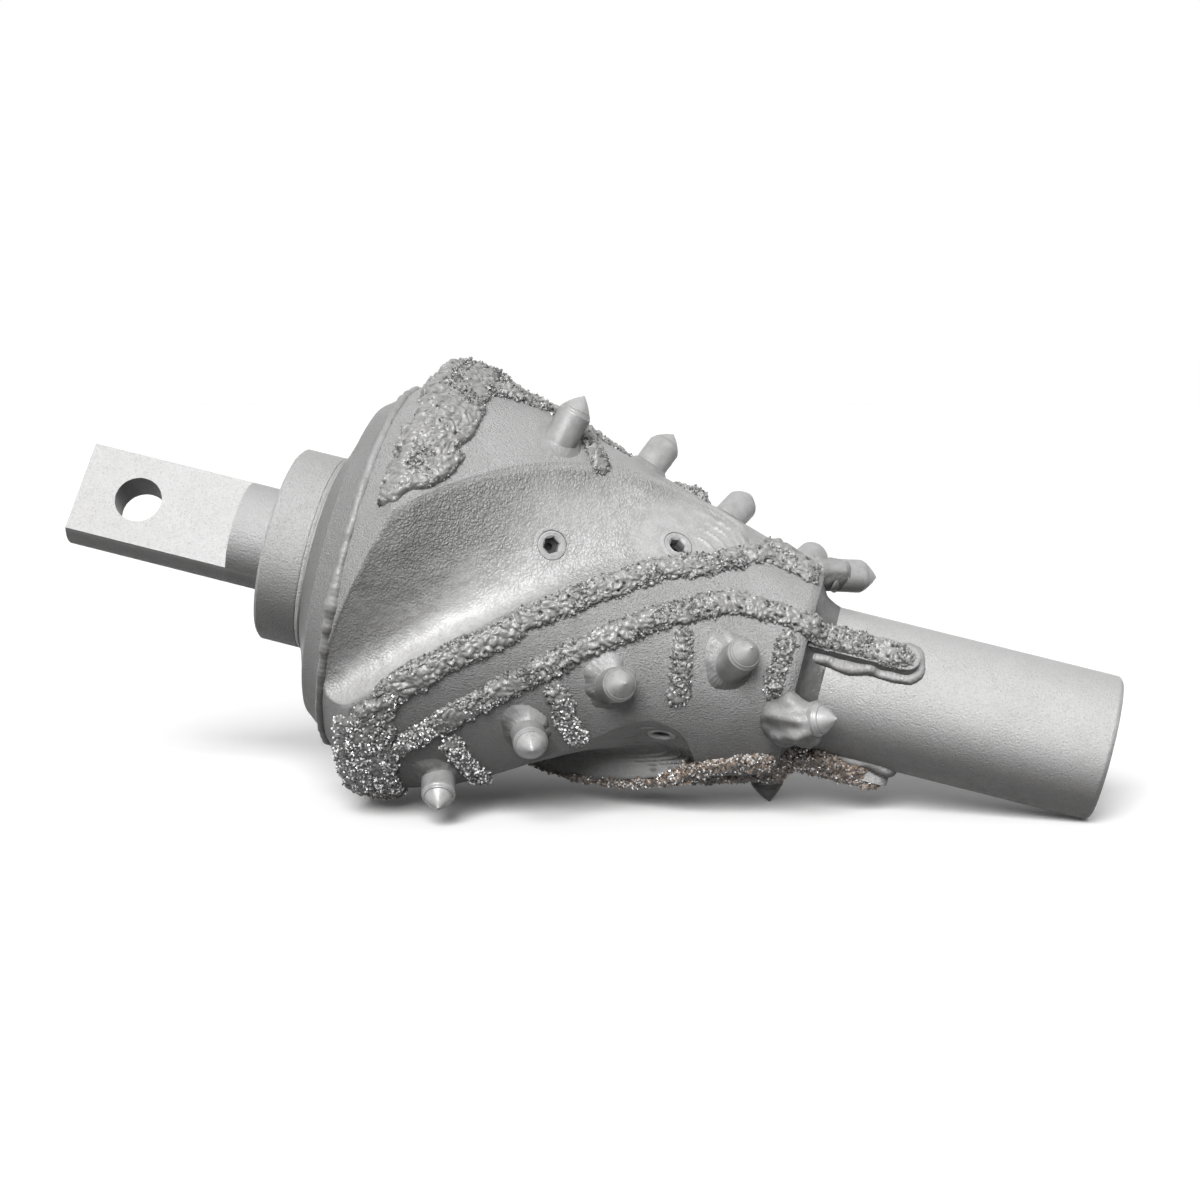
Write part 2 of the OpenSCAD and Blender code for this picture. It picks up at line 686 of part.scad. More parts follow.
module bearing_cage(x, side) {
    h = roller_length / 2 + cage_reach;
    color("goldenrod") difference() {
        translate([x + bearing_w / 2, 0, 0]) revolve_x([
            [-h, roller_r(-h, side) - cage_wall / 2], [-h, roller_r(-h, side) + cage_wall / 2],
            [h, roller_r(h, side) + cage_wall / 2], [h, roller_r(h, side) - cage_wall / 2]
        ]);
        roller_set(x, side, roller_d + cage_room, roller_length + cage_room);
    }
}
spacer_wall = 3.5;
shoulder_d = journal_d + 9;
module cup_spacer() {
    color("gray") difference() {
        bar_x(rear_bearing_x + bearing_w - cup_inset + fit, front_bearing_x + cup_inset - fit, cup_d);
        bar_x(rear_bearing_x, front_bearing_x + bearing_w, cup_d - 2 * spacer_wall);
    }
}
module cone_spacer() {
    color("gray") difference() {
        bar_x(rear_bearing_x + bearing_w + fit, front_bearing_x - fit, shoulder_d);
        bar_x(rear_bearing_x, front_bearing_x + bearing_w, journal_d + 2 * run);
    }
}

// Spindle with its tang, and the nut that holds it in
module swivel_spindle() {
    color("whitesmoke") rotate([-tang_roll, 0, 0]) difference() {
        union() {
            bar_x(tang_end_x, rear_bearing_x - fit, spindle_d);
            bar_x(tang_end_x + 1, shoulder_x, journal_d);
            bar_x(tang_end_x + 1, spindle_end_x, spindle_thread_d);
        }
        for (y = [-spindle_d - tang_thickness / 2, tang_thickness / 2])
            translate([tang_end_x - 1, y, -spindle_d]) cube([tang_length + 1, spindle_d, 2 * spindle_d]);
        translate([pin_x, spindle_d, 0]) rotate([90, 0, 0]) cylinder(h = 2 * spindle_d, d = pin_hole_d);
        translate([nut_x + nut_w / 2, 0, -spindle_d]) cylinder(h = 2 * spindle_d, d = nut_pin_d + 2 * fit);
    }
}
nut_pin_d = 5;
nut_af = 62;
module lock_washer() {
    color("gray") difference() {
        bar_x(shoulder_x + fit, shoulder_x + lock_washer_w, shoulder_d);
        bar_x(shoulder_x - 1, nut_x + 1, spindle_thread_d + 2 * fit);
    }
}
module spindle_nut() {
    color("gray") difference() {
        translate([nut_x, 0, 0]) rotate([0, 90, 0]) cylinder(h = nut_w, d = nut_af / cos(30), $fn = 6);
        bar_x(nut_x - 1, nut_x + nut_w + 1, spindle_thread_d + 2 * fit);
        rotate([-tang_roll, 0, 0]) translate([nut_x + nut_w / 2, 0, -nut_af])
            cylinder(h = 2 * nut_af, d = nut_pin_d + 2 * fit);
    }
}
module nut_pin() {
    color("gray") rotate([-tang_roll, 0, 0]) translate([nut_x + nut_w / 2, 0, 0])
        cylinder(h = nut_af + 2 * lock_washer_w, d = nut_pin_d, center = true);
}

drill_stem();
cutter_body();
back_plate();
rim_weld();
nose_weld();
hub_weld();
for (w = [0:2]) {
    tail_rib(w);
    hardfacing(w);
    bit_welds(w);
    for (i = [0:4]) carbide_tip(w, i);
    for (i = [0:4])
        bit(w, i);
}
for (i = [0:5])
    jet(i);
swivel_housing();
end_cap();
cap_o_ring();
shaft_seal();
grease_plug();
cup_spacer();
bearing_cup(rear_bearing_x, -1);  // rear_cup
bearing_cone(rear_bearing_x, -1);  // rear_cone
bearing_cage(rear_bearing_x, -1);  // rear_cage
bearing_rollers(rear_bearing_x, -1);  // rear_rollers
bearing_cup(front_bearing_x, 1);  // front_cup
bearing_cone(front_bearing_x, 1);  // front_cone
bearing_cage(front_bearing_x, 1);  // front_cage
bearing_rollers(front_bearing_x, 1);  // front_rollers
swivel_spindle();
cone_spacer();
lock_washer();
spindle_nut();
nut_pin();
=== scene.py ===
import bmesh
import bpy
import math
import numpy as np
from mathutils import Matrix, Vector


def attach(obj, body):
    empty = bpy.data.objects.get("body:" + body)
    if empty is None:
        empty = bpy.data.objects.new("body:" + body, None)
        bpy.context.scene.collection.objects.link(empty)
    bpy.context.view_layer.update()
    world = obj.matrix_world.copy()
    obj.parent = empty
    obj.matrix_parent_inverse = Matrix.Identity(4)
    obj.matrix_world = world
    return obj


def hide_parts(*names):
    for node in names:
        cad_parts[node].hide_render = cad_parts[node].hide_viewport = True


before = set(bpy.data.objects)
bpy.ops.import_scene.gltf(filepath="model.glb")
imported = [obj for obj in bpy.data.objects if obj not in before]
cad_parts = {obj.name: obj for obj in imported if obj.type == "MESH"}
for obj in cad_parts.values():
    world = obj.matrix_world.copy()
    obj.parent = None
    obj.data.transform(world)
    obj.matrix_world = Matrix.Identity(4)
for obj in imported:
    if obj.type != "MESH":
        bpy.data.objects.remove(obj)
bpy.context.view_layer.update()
print("frame loaded")

wingNames = "abc"
mm = 0.001

# Sizes of the cutter, in millimetres and degrees, as the part's source has them

cutter = {
    "noseX": -175.0, "plateX": -425.0, "noseR": 59.0, "gaugeR": 123.0, "rearR": 103.0,
    "chamfer": 21.5, "gauge": 11.0, "lead": 753.0, "fade": 65.0, "fadeLength": 50.0,
    "fluteAngle": 52.0, "narrowest": 10.0, "floorR": 103.0, "floorSlope": 0.22,
    "fluteEnd": 43.0, "runout": 44.0, "wallPower": 0.3, "ridge": 22.7, "leadingEdge": 26.0,
    "stemR": 41.25,
}
wingStep = 120.0
bodyLength = cutter["noseX"] - cutter["plateX"]
coneLength = bodyLength - cutter["chamfer"] - cutter["gauge"]
coneSlope = (cutter["gaugeR"] - cutter["noseR"]) / coneLength
fadeX = cutter["noseX"] - cutter["fade"]
fluteCloseX = cutter["noseX"] - cutter["fluteEnd"]
runoutX = fluteCloseX - cutter["runout"]
trailingEdge = cutter["leadingEdge"] + cutter["fluteAngle"] - wingStep


def spin(a):
    # direction outwards at angle a: 0 looks to -Y, 90 to +Z
    a = np.radians(a)
    return np.stack([np.zeros_like(a), -np.cos(a), np.sin(a)], -1)


def unit(v):
    return v / np.linalg.norm(v, axis=-1, keepdims=True)


def landR(x):
    # least of the rear chamfer, the gauge cylinder and the cone
    c = cutter
    rear = c["rearR"] + (x - c["plateX"]) * (c["gaugeR"] - c["rearR"]) / c["chamfer"]
    cone = c["noseR"] + (c["noseX"] - x) * coneSlope
    return np.minimum(np.minimum(rear, c["gaugeR"]), cone)


def ridge(x):
    # angle of the first wing's second bead: a helix whose rate falls to 0 near the nose, so the
    # run past fadeX is the eased length less its square over twice the fade's length
    c = cutter
    t = x - fadeX
    eased = np.clip(t, 0, c["fadeLength"])
    run = np.minimum(t, 0) + eased * (1 - eased / c["fadeLength"] / 2)
    return c["ridge"] + 360 / c["lead"] * run


def opening(x):
    # 1 along the flute, falling in a quarter ellipse to 0 at its front end
    t = np.clip((x - runoutX) / cutter["runout"], 0, 1)
    return np.sqrt(1 - t * t)


def fluteWidth(x):
    return np.maximum(cutter["narrowest"], cutter["fluteAngle"] * opening(x))


def fluteDepth(x):
    # depth under the gauge and the cone, before the rear chamfer is cut
    c = cutter
    floor = c["floorR"] - c["floorSlope"] * (x - c["plateX"])
    uncut = np.minimum(c["gaugeR"], c["noseR"] + (c["noseX"] - x) * coneSlope)
    return np.maximum(0, uncut - floor) * opening(x), uncut - landR(x)


def fluteShape(u):
    # steep behind the leading edge, deepest close to it, then a long rise
    p = cutter["wallPower"]
    deepest = p / (1 + p)
    u = np.clip(u, 0, 1)
    return (u / deepest) ** p * (1 - u) / (1 - deepest)


def sunk(x, a):
    # depth of the body's surface under the land
    into = np.mod(a - ridge(x) - cutter["leadingEdge"] + 1e-6, wingStep) / fluteWidth(x)
    depth, chamfer = fluteDepth(x)
    return np.where(into < 1, np.maximum(depth * fluteShape(into) - chamfer, 0.0), 0.0)


def at(x, r, a):
    # point at a station, a radius and an angle
    return spin(a) * np.asarray(r)[..., None] + np.stack([x, 0 * x, 0 * x], -1)


def onBody(x, a):
    return at(x, landR(x) - sunk(x, a), a)


def angleOf(p):
    return np.degrees(np.arctan2(p[..., 2], -p[..., 1]))


def landNormal(x, a):
    slope = landR(x + 0.5) - landR(x - 0.5)
    return unit(spin(a) + np.stack([-slope, 0 * x, 0 * x], -1))


def ramp(t):
    # 0 to 1 with no kink at either end
    t = np.clip(t, 0, 1)
    return t * t * (3 - 2 * t)


# The camera, fitted to the outline, and what the object stands on

shot = {  # pixels, millimetres and degrees: target on the tool axis, orbit, roll, shift in the view
    "focal": 2602.861, "width": 1200, "sensor": 36.0, "target": (-300.0, 0, 0), "distance": 1482.17,
    "yaw": 5.385, "elevation": 8.0, "roll": 13.253, "across": 7.281, "above": 10.915,
}


def shotAxes():
    s = shot
    yaw, el, roll = (math.radians(s[k]) for k in ("yaw", "elevation", "roll"))
    back = np.array([math.sin(yaw) * math.cos(el), -math.cos(yaw) * math.cos(el), math.sin(el)])
    right = unit(np.cross(-back, [0, 0, 1.0]))
    up = np.cross(right, -back)
    across = math.cos(roll) * right + math.sin(roll) * up
    above = -math.sin(roll) * right + math.cos(roll) * up
    return across, above, back


across, above, back = shotAxes()
floorTilt = 6.5  # degrees by which the camera looks down on the floor
floorUp = above * math.cos(math.radians(floorTilt)) + back * math.sin(math.radians(floorTilt))
floorLow = min(float((np.array([v.co for v in obj.data.vertices]) @ floorUp).min())
               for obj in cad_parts.values()) / mm


# Noise worked out on arrays of points

def lattice(i, seed):
    # a repeatable number from 0 to 1 for each whole-number corner
    n = i[..., 0] * 73856093 ^ i[..., 1] * 19349663 ^ i[..., 2] * 83492791
    n = (n ^ seed * 2654435761) & 0xffffffff
    n = ((n ^ (n >> 15)) * 2246822519) & 0xffffffff
    n = ((n ^ (n >> 13)) * 3266489917) & 0xffffffff
    return ((n ^ (n >> 16)) & 0xffffff) / 16777215.0


def cloud(p, size, seed=0):
    # smooth noise: eight corners of the cell blended by the eased place in it
    q = p / size
    base = np.floor(q).astype(np.int64)
    f = q - base
    f = f * f * (3 - 2 * f)
    total = 0
    for corner in np.ndindex(2, 2, 2):
        c = np.array(corner)
        weight = np.prod(np.where(c == 1, f, 1 - f), axis=-1)
        total = total + weight * lattice(base + c, seed)
    return total


def grains(p, size, seed=0):
    # distances to the nearest and second nearest seed point of the cells, the nearest one's
    # number, and the height over it of a plane that leans its own way
    q = p / size
    base = np.floor(q).astype(np.int64)
    first = np.full(q.shape[:-1], 9.0)
    second = first.copy()
    number, facet = first * 0, first * 0
    for corner in np.ndindex(3, 3, 3):
        cell = base + np.array(corner) - 1
        place = np.stack([lattice(cell, seed + k) for k in (1, 2, 3)], -1)
        off = q - cell - place
        d = np.linalg.norm(off, axis=-1)
        near = d < first
        facet = np.where(near, (off * (place[..., [1, 2, 0]] - 0.5)).sum(-1) * 4, facet)
        second = np.where(near, first, np.minimum(second, d))
        number = np.where(near, lattice(cell, seed + 9), number)
        first = np.where(near, d, first)
    return first, second, number, facet


# Meshes

def gridFaces(rows, cols):
    # quads of a grid of rows, closed round its columns
    i = np.arange(rows - 1)[:, None] * cols
    j = np.arange(cols)[None, :]
    k = (j + 1) % cols
    return np.stack([i + j, i + k, i + cols + k, i + cols + j], -1).reshape(-1, 4)


def outwards(points, quads, caps=()):
    # turns all faces when the volume that the quads enclose comes out negative
    a, b, c, d = (points[quads[:, k]] for k in range(4))
    centre = points.mean(0)
    a, b, c, d = a - centre, b - centre, c - centre, d - centre
    volume = np.einsum("ij,ij->", a, np.cross(b, c)) + np.einsum("ij,ij->", a, np.cross(c, d))
    faces = quads.tolist() + list(caps)
    return points, faces if volume > 0 else [f[::-1] for f in faces]


def tube(rows):
    # a closed solid skinned over rows of points, each row a closed loop, with a cap at each end
    n, m = rows.shape[:2]
    caps = [list(range(m))[::-1], list(range((n - 1) * m, n * m))]
    return outwards(rows.reshape(-1, 3), gridFaces(n, m), caps)


def looped(rows):
    # a closed ring skinned over rows of points: the last row joins the first
    n, m = rows.shape[:2]
    return outwards(rows.reshape(-1, 3), gridFaces(n + 1, m) % (n * m))


def join(solids):
    # several solids as one list of points and one of faces
    points, faces, start = [], [], 0
    for p, f in solids:
        points.append(p)
        faces += [[start + i for i in face] for face in f] if start else list(f)
        start += len(p)
    return np.concatenate(points), faces


def placed(name, data):
    obj = bpy.data.objects.new(name, data)
    bpy.context.scene.collection.objects.link(obj)
    return obj


def addValues(mesh, name, values, domain="POINT"):
    data = mesh.attributes.new(name, "FLOAT", domain).data
    data.foreach_set("value", np.asarray(values, np.float32).ravel())


def markPaintedLight(mesh, domain="POINT"):
    # how far each point or face looks down towards the floor, which sets painted shade (a darker
    # colour) and a rougher finish there, and how far it looks up, which sets a painted highlight
    source = mesh.vertex_normals if domain == "POINT" else mesh.polygon_normals
    normals = np.zeros(len(source) * 3, np.float32)
    source.foreach_get("vector", normals)
    level = -(normals.reshape(-1, 3) @ floorUp)
    addValues(mesh, "under", ramp((level + 0.20) / 0.85), domain)
    addValues(mesh, "over", ramp((-level - 0.25) / 0.75), domain)


def assemble(obj, material, body, nodes):
    # gives the object its finish and its place in the assembly
    obj.data.materials.clear()
    obj.data.materials.append(material)
    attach(obj, body)
    if nodes:
        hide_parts(*nodes)
    return obj


def piece(name, solid, material, nodes=(), sharp=35, values=None,
          creases=None):
    # makes the object, in metres, with its smoothing and its attributes; edges stay sharp where
    # faces turn by more than sharp degrees and where both ends are in creases
    points, faces = solid
    mesh = bpy.data.meshes.new(name)
    mesh.from_pydata((points * mm).tolist(), [], faces)
    mesh.polygons.foreach_set("use_smooth", [sharp > 0] * len(mesh.polygons))
    if sharp:
        mesh.set_sharp_from_angle(angle=math.radians(sharp))
    if creases is not None:
        ends = np.zeros(len(mesh.edges) * 2, np.int32)
        mesh.edges.foreach_get("vertices", ends)
        marked = np.zeros(len(mesh.edges), bool)
        mesh.edges.foreach_get("use_edge_sharp", marked)
        mesh.edges.foreach_set("use_edge_sharp", marked | creases[ends.reshape(-1, 2)].all(1))
    for key, value in (values or {}).items():
        addValues(mesh, key, value)
    markPaintedLight(mesh)
    return assemble(placed(name, mesh), material, "reamer", nodes)


def gridNormals(p):
    # outward directions of a grid of points, from its two differences
    du = np.gradient(p, axis=0)
    dv = np.roll(p, -1, axis=1) - np.roll(p, 1, axis=1)
    return unit(np.cross(dv, du) + 1e-9)


def softened(name, node, material, width, body="reamer"):
    # a copy of a CAD node with its loose triangles merged and its edges rounded
    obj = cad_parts[node].copy()
    obj.data = obj.data.copy()
    obj.name = name
    obj.parent = None
    bpy.context.scene.collection.objects.link(obj)
    bm = bmesh.new()
    bm.from_mesh(obj.data)
    bmesh.ops.remove_doubles(bm, verts=bm.verts, dist=1e-6)
    bmesh.ops.dissolve_limit(bm, angle_limit=math.radians(1), verts=bm.verts, edges=bm.edges)
    bm.to_mesh(obj.data)
    bm.free()
    obj.data.polygons.foreach_set("use_smooth", [True] * len(obj.data.polygons))
    markPaintedLight(obj.data, "FACE")
    bevel = obj.modifiers.new("edges", "BEVEL")
    bevel.width = width * mm
    bevel.segments = 3
    bevel.limit_method = "ANGLE"
    bevel.angle_limit = math.radians(30)
    flats = obj.modifiers.new("flats", "WEIGHTED_NORMAL")
    flats.keep_sharp = True
    return assemble(obj, material, body, [node])


# Shader maths

class Wire:
    # a socket that takes part in sums
    def __init__(self, graph, socket):
        self.graph, self.socket = graph, socket

    def sum(self, operation, a, b):
        return self.graph.node("ShaderNodeMath", {"operation": operation}, [a, b])

    def __add__(self, other):
        return self.sum("ADD", self, other)

    def __radd__(self, other):
        return self.sum("ADD", other, self)

    def __sub__(self, other):
        return self.sum("SUBTRACT", self, other)

    def __rsub__(self, other):
        return self.sum("SUBTRACT", other, self)

    def __mul__(self, other):
        return self.sum("MULTIPLY", self, other)

    def __rmul__(self, other):
        return self.sum("MULTIPLY", other, self)


class Graph:
    def __init__(self, name):
        self.material = bpy.data.materials.new(name)
        self.material.use_nodes = True
        self.tree = self.material.node_tree
        self.shader = self.tree.nodes["Principled BSDF"]

    def put(self, socket, value):
        # links a wire, or sets a number or a colour
        if isinstance(value, Wire):
            self.tree.links.new(value.socket, socket)
        elif isinstance(value, tuple) and len(value) == 3 and len(socket.default_value) == 4:
            socket.default_value = (*value, 1.0)
        else:
            socket.default_value = value

    def node(self, kind, settings=None, inputs=None, output=0):
        # a node of any kind: its settings, then its sockets by name or in their order
        new = self.tree.nodes.new(kind)
        for key, value in (settings or {}).items():
            setattr(new, key, value)
        named = inputs.items() if isinstance(inputs, dict) else enumerate(inputs or [])
        for key, value in named:
            self.put(new.inputs[key], value)
        return Wire(self, new.outputs[output])

    def place(self):
        return self.node("ShaderNodeTexCoord", output="Object")

    def stretched(self, scale):
        return self.node("ShaderNodeMapping", inputs={"Vector": self.place(), "Scale": scale})

    def value(self, name):
        return self.node("ShaderNodeAttribute", {"attribute_name": name}, output="Fac")

    def noise(self, scale, detail=3.0, rough=0.55, where=None):
        return self.node("ShaderNodeTexNoise", inputs={
            "Vector": where or self.place(), "Scale": scale, "Detail": detail, "Roughness": rough})

    def cells(self, scale, where=None):
        return self.node("ShaderNodeTexVoronoi", inputs={
            "Vector": where or self.place(), "Scale": scale})

    def clip(self, value, low, high, toLow=0.0, toHigh=1.0):
        # carries low..high over to toLow..toHigh and stops at both ends
        return self.node("ShaderNodeMapRange", {"clamp": True}, [value, low, high, toLow, toHigh])

    def blend(self, mask, a, b):
        # a colour between a and b
        return self.node("ShaderNodeMix", {"data_type": "RGBA"}, {0: mask, 6: a, 7: b}, output=2)

    def bump(self, height, depth):
        return self.node("ShaderNodeBump", inputs={
            "Height": height, "Distance": depth * mm, "Strength": 1.0})

    def shadeUnderside(self, color, share=0.90):
        # painted shade: darker on faces that look down towards the floor
        return self.blend(self.value("under") * share, color, grey(0.032, 0.05))

    def dull(self, rough):
        return rough + self.value("under") * 0.25

    def finish(self, **inputs):
        names = {"color": "Base Color", "rough": "Roughness", "metal": "Metallic",
                 "normal": "Normal", "specular": "Specular IOR Level",
                 "glow": "Emission Color", "glowLevel": "Emission Strength"}
        for key, value in inputs.items():
            self.put(self.shader.inputs[names[key]], value)
        return self.material


def grey(level, warm=0.0):
    return (level * (1 + warm), level, level * (1 - warm))


def silverPaint(name, level=0.40, rough=0.40, mottle=0.07, lines=0.0, cast=0.0, neckX=None):
    # sprayed aluminium paint over steel: cloudy tone, fine spray grain, turning lines round the
    # tool where lines is given, darker ahead of neckX
    g = Graph(name)
    tone = g.noise(24, 4, 0.6)
    speck = g.noise(1500, 2, 0.6)
    wear = g.noise(150, 5, 0.65)
    skin = g.noise(900, 2, 0.6)
    mask = g.clip(tone * 0.6 + wear * 0.4, 0.35, 0.65)
    color = g.blend(mask, grey(level * (1 - mottle), 0.012),
                    grey(level * (1 + mottle), -0.004))
    color = g.blend(g.clip(speck, 0.56, 0.76) * 0.35, color, grey(min(level * 1.5, 0.8)))
    color = g.blend(g.clip(skin, 0.46, 0.34) * 0.4, color, grey(level * 0.55, 0.01))
    if neckX:
        station = g.node("ShaderNodeSeparateXYZ", inputs=[g.place()])
        neck = g.clip(station, neckX - 0.001, neckX + 0.001)
        color = g.blend(neck * 0.8, color, grey(level * 0.70))
    height = speck * 0.3 + wear * 0.5 + skin * (1 + cast)
    if lines:
        height = height + g.noise(1500, 3, 0.7, g.stretched((1.0, 0.02, 0.02))) * lines
    gloss = g.clip(wear, 0.3, 0.7, rough - 0.06, rough + 0.08)
    return g.finish(color=g.shadeUnderside(color), rough=g.dull(gloss), metal=0.0, specular=0.8,
                    normal=g.bump(height, 0.9))


cutterTones = {
    "land": (0.29, 0.35), "landPit": 0.16, "ground": 0.50, "over": 0.55, "cast": (0.37, 0.44),
    "dim": 0.15, "castPitShade": 0.12, "castCrestHighlight": 0.52, "speck": 0.66, "ring": 0.14,
}


def bodyPaint():
    # lands are ground and painted, flutes keep their cast skin, rings were turned round sockets
    g, t = Graph("cutterPaint"), cutterTones
    flute, ring, shade, dim = (g.value(key) for key in ("flute", "ring", "shade", "dim"))
    tone = g.noise(34, 4, 0.6)
    speck = g.noise(1600, 2, 0.6)
    push = g.node("ShaderNodeTexNoise", inputs={"Vector": g.place(), "Scale": 240},
                  output="Color")
    bent = g.node("ShaderNodeVectorMath", {"operation": "MULTIPLY_ADD"},
                  [push, (0.004, 0.004, 0.004), g.place()])
    pebble = 1 - g.cells(640, where=bent)
    skin = pebble * 0.6 + g.noise(900, 3, 0.6) * 0.4
    broad = g.noise(170, 4, 0.6)
    coarse = g.clip(g.noise(17, 3, 0.5), 0.42, 0.60, 0.20, 0.7)
    rough = g.clip(coarse + shade * 0.5, 0, 1)
    grind = g.noise(1100, 3, 0.7, g.stretched((0.10, 1.0, 1.0)))
    peel = g.noise(950, 2, 0.6)
    land = g.blend(g.clip(tone, 0.36, 0.64), grey(t["land"][0], 0.01), grey(t["land"][1]))
    land = g.blend(g.clip(peel, 0.46, 0.32) * 0.5, land, grey(t["landPit"], 0.01))
    land = g.blend(g.clip(grind, 0.54, 0.66) * 0.35, land, grey(t["ground"]))
    cast = g.blend(g.clip(broad, 0.38, 0.62), grey(t["cast"][0], 0.012), grey(t["cast"][1]))
    # painted shade deep in the flute and along its run
    cast = g.blend(dim * 0.60, cast, grey(t["dim"], 0.01))
    # painted shade in the cast skin's hollows and a painted highlight on its crests
    cast = g.blend(g.clip(skin, 0.58, 0.44) * rough * 0.55, cast, grey(t["castPitShade"], 0.01))
    cast = g.blend(g.clip(skin, 0.66, 0.78) * rough * 0.5, cast, grey(t["castCrestHighlight"]))
    color = g.blend(g.clip(flute, 0, 1), land, cast)
    # painted highlight: lands lighter where they face up
    color = g.blend(g.value("over") * (1 - flute) * 0.18, color, grey(t["over"]))
    color = g.blend(g.clip(speck, 0.58, 0.76) * 0.4, color, grey(t["speck"]))
    color = g.blend(g.clip(ring, 0.4, 1.0) * 0.4, color, grey(t["ring"], 0.02))
    inFlute = (skin * 1.2 + broad * 0.5) * rough * flute
    height = inFlute + (grind + peel * 0.9) * (1 - flute) + speck * 0.1 - ring * 0.25
    gloss = g.clip(peel, 0.3, 0.7, 0.36, 0.50)
    return g.finish(color=g.shadeUnderside(color, 0.78), rough=g.dull(gloss), metal=0.0, specular=0.7,
                    normal=g.bump(height, 1.15))


crustTones = {
    "gap": 0.028, "lump": 0.27, "crestHighlight": 0.36, "pit": 0.06,
    "rustAndFloorReflection": ((0.05, 0.034, 0.024), (0.30, 0.215, 0.155)),
}


def crustPaint():
    # molten matrix with crushed carbide under paint: grey lumps, with dark gaps and pits and
    # lighter crests as painted shade and highlight over the relief, darker on the underside as
    # painted shade, and brown close above the floor, partly rust and partly a painted reflection of
    # a brown floor
    g, t = Graph("hardfacingCrust"), crustTones
    high, warm = g.value("high"), g.value("warm")
    fine = g.noise(1500, 3, 0.65)
    cell = g.cells(800)
    tone = g.noise(140, 3, 0.6)
    # painted shade and highlight following the relief: dark in the gaps and pits, lighter on the
    # lumps
    color = g.blend(g.clip(high, 0.05, 0.65), grey(t["gap"], 0.03), grey(t["lump"], 0.01))
    crestHighlight = g.clip(tone, 0.45, 0.65) * g.clip(high, 0.5, 0.9)
    color = g.blend(crestHighlight * 0.6, color, grey(t["crestHighlight"]))
    color = g.blend(g.clip(fine, 0.42, 0.30) * 0.5, color, grey(t["pit"], 0.02))
    # painted shade: darker on the underside, close above the floor
    color = g.blend(g.value("low") * 0.55, color, grey(t["pit"], 0.02))
    rustAndFloorReflection = g.blend(g.clip(high, 0.2, 0.8), *t["rustAndFloorReflection"])
    color = g.blend(warm * 0.85, color, rustAndFloorReflection)
    return g.finish(color=g.shadeUnderside(color, 0.6), rough=g.clip(fine, 0.3, 0.7, 0.24, 0.42),
                    metal=0.0, specular=0.8, normal=g.bump(cell * 0.4 + fine * 0.3, 0.5))


gritTones = {"dark": 0.05, "pale": 0.38, "bright": 0.95, "rustAndFloorReflection": (0.25, 0.18, 0.13)}


def gritPaint():
    # broken grains, each with its own tone, from dark to bright bare metal
    g, t = Graph("carbideGrit"), gritTones
    tone, warm = g.value("tone"), g.value("warm")
    fine = g.noise(2500, 2, 0.6)
    color = g.blend(g.clip(tone, 0.1, 0.5), grey(t["dark"], 0.02), grey(t["pale"]))
    color = g.blend(g.clip(tone, 0.55, 0.62) * (1 - warm * 0.5), color, grey(t["bright"]))
    # brown close above the floor: partly rust, partly a painted reflection of a brown floor
    color = g.blend(warm * (1 - g.clip(tone, 0.5, 0.8)) * 0.7, color, t["rustAndFloorReflection"])
    return g.finish(color=color, rough=g.clip(tone, 0.2, 0.9, 0.40, 0.16),
                    metal=g.clip(tone, 0.56, 0.60, 0.0, 0.45), specular=0.8,
                    normal=g.bump(fine, 0.08))


def weldPaint(name, level):
    # weld metal under paint: soft ripples and a few dark flecks of spatter
    g = Graph(name)
    tone = g.noise(90, 4, 0.55)
    ripple = g.noise(420, 3, 0.6)
    fleck = g.clip(g.noise(900, 2, 0.5), 0.68, 0.76)
    color = g.blend(g.clip(tone, 0.35, 0.65), grey(level * 0.86, 0.015), grey(level * 1.14))
    color = g.blend(fleck * 0.5, color, grey(0.14, 0.05))
    height = ripple * 0.6 + g.noise(1000, 2, 0.6) * 0.35 + tone * 0.6
    gloss = g.clip(ripple, 0.3, 0.7, 0.32, 0.48)
    return g.finish(color=g.shadeUnderside(color), rough=g.dull(gloss), metal=0.0, specular=0.6,
                    normal=g.bump(height, 0.8))


def bitPaint(name, level, rough, worn):
    # turned steel with paint that thins towards the tip
    g = Graph(name)
    tone = g.noise(160, 5, 0.6)
    scratch = g.noise(700, 4, 0.7)
    color = g.blend(g.clip(tone, 0.35, 0.65), grey(level * 0.86, 0.01), grey(level * 1.12))
    color = g.blend(g.clip(scratch, 0.60, 0.72) * worn, color, grey(level * 0.45, 0.03))
    return g.finish(color=g.shadeUnderside(color, 0.6), metal=0.0, specular=0.8,
                    rough=g.clip(tone, 0.3, 0.7, rough - 0.06, rough + 0.08),
                    normal=g.bump(scratch + tone * 0.5, 0.16))


def machined(name, level, rough, tint=0.0):
    # turned or ground metal: fine lines round the tool axis
    g = Graph(name)
    along = g.stretched((1.0, 0.04, 0.04))
    line = g.noise(2200, 3, 0.7, along)
    tone = g.noise(60, 4, 0.6)
    mask = g.clip(tone * 0.6 + line * 0.4, 0.35, 0.65)
    color = g.blend(mask, grey(level * 0.85, tint), grey(level * 1.1, tint))
    return g.finish(color=color, rough=g.clip(line, 0.3, 0.7, rough - 0.05, rough + 0.1),
                    metal=0.9, normal=g.bump(line + tone * 0.3, 0.06))


def jetPaint():
    # painted face; nearly black down in the socket, as painted shade
    g = Graph("jetSteel")
    tone = g.noise(400, 4, 0.6)
    color = g.blend(g.clip(tone, 0.35, 0.65), grey(0.30), grey(0.38))
    color = g.blend(g.value("deep"), color, grey(0.010, 0.05))
    return g.finish(color=color, rough=g.clip(tone, 0.3, 0.7, 0.30, 0.46), metal=0.0,
                    specular=0.4, normal=g.bump(tone, 0.25))


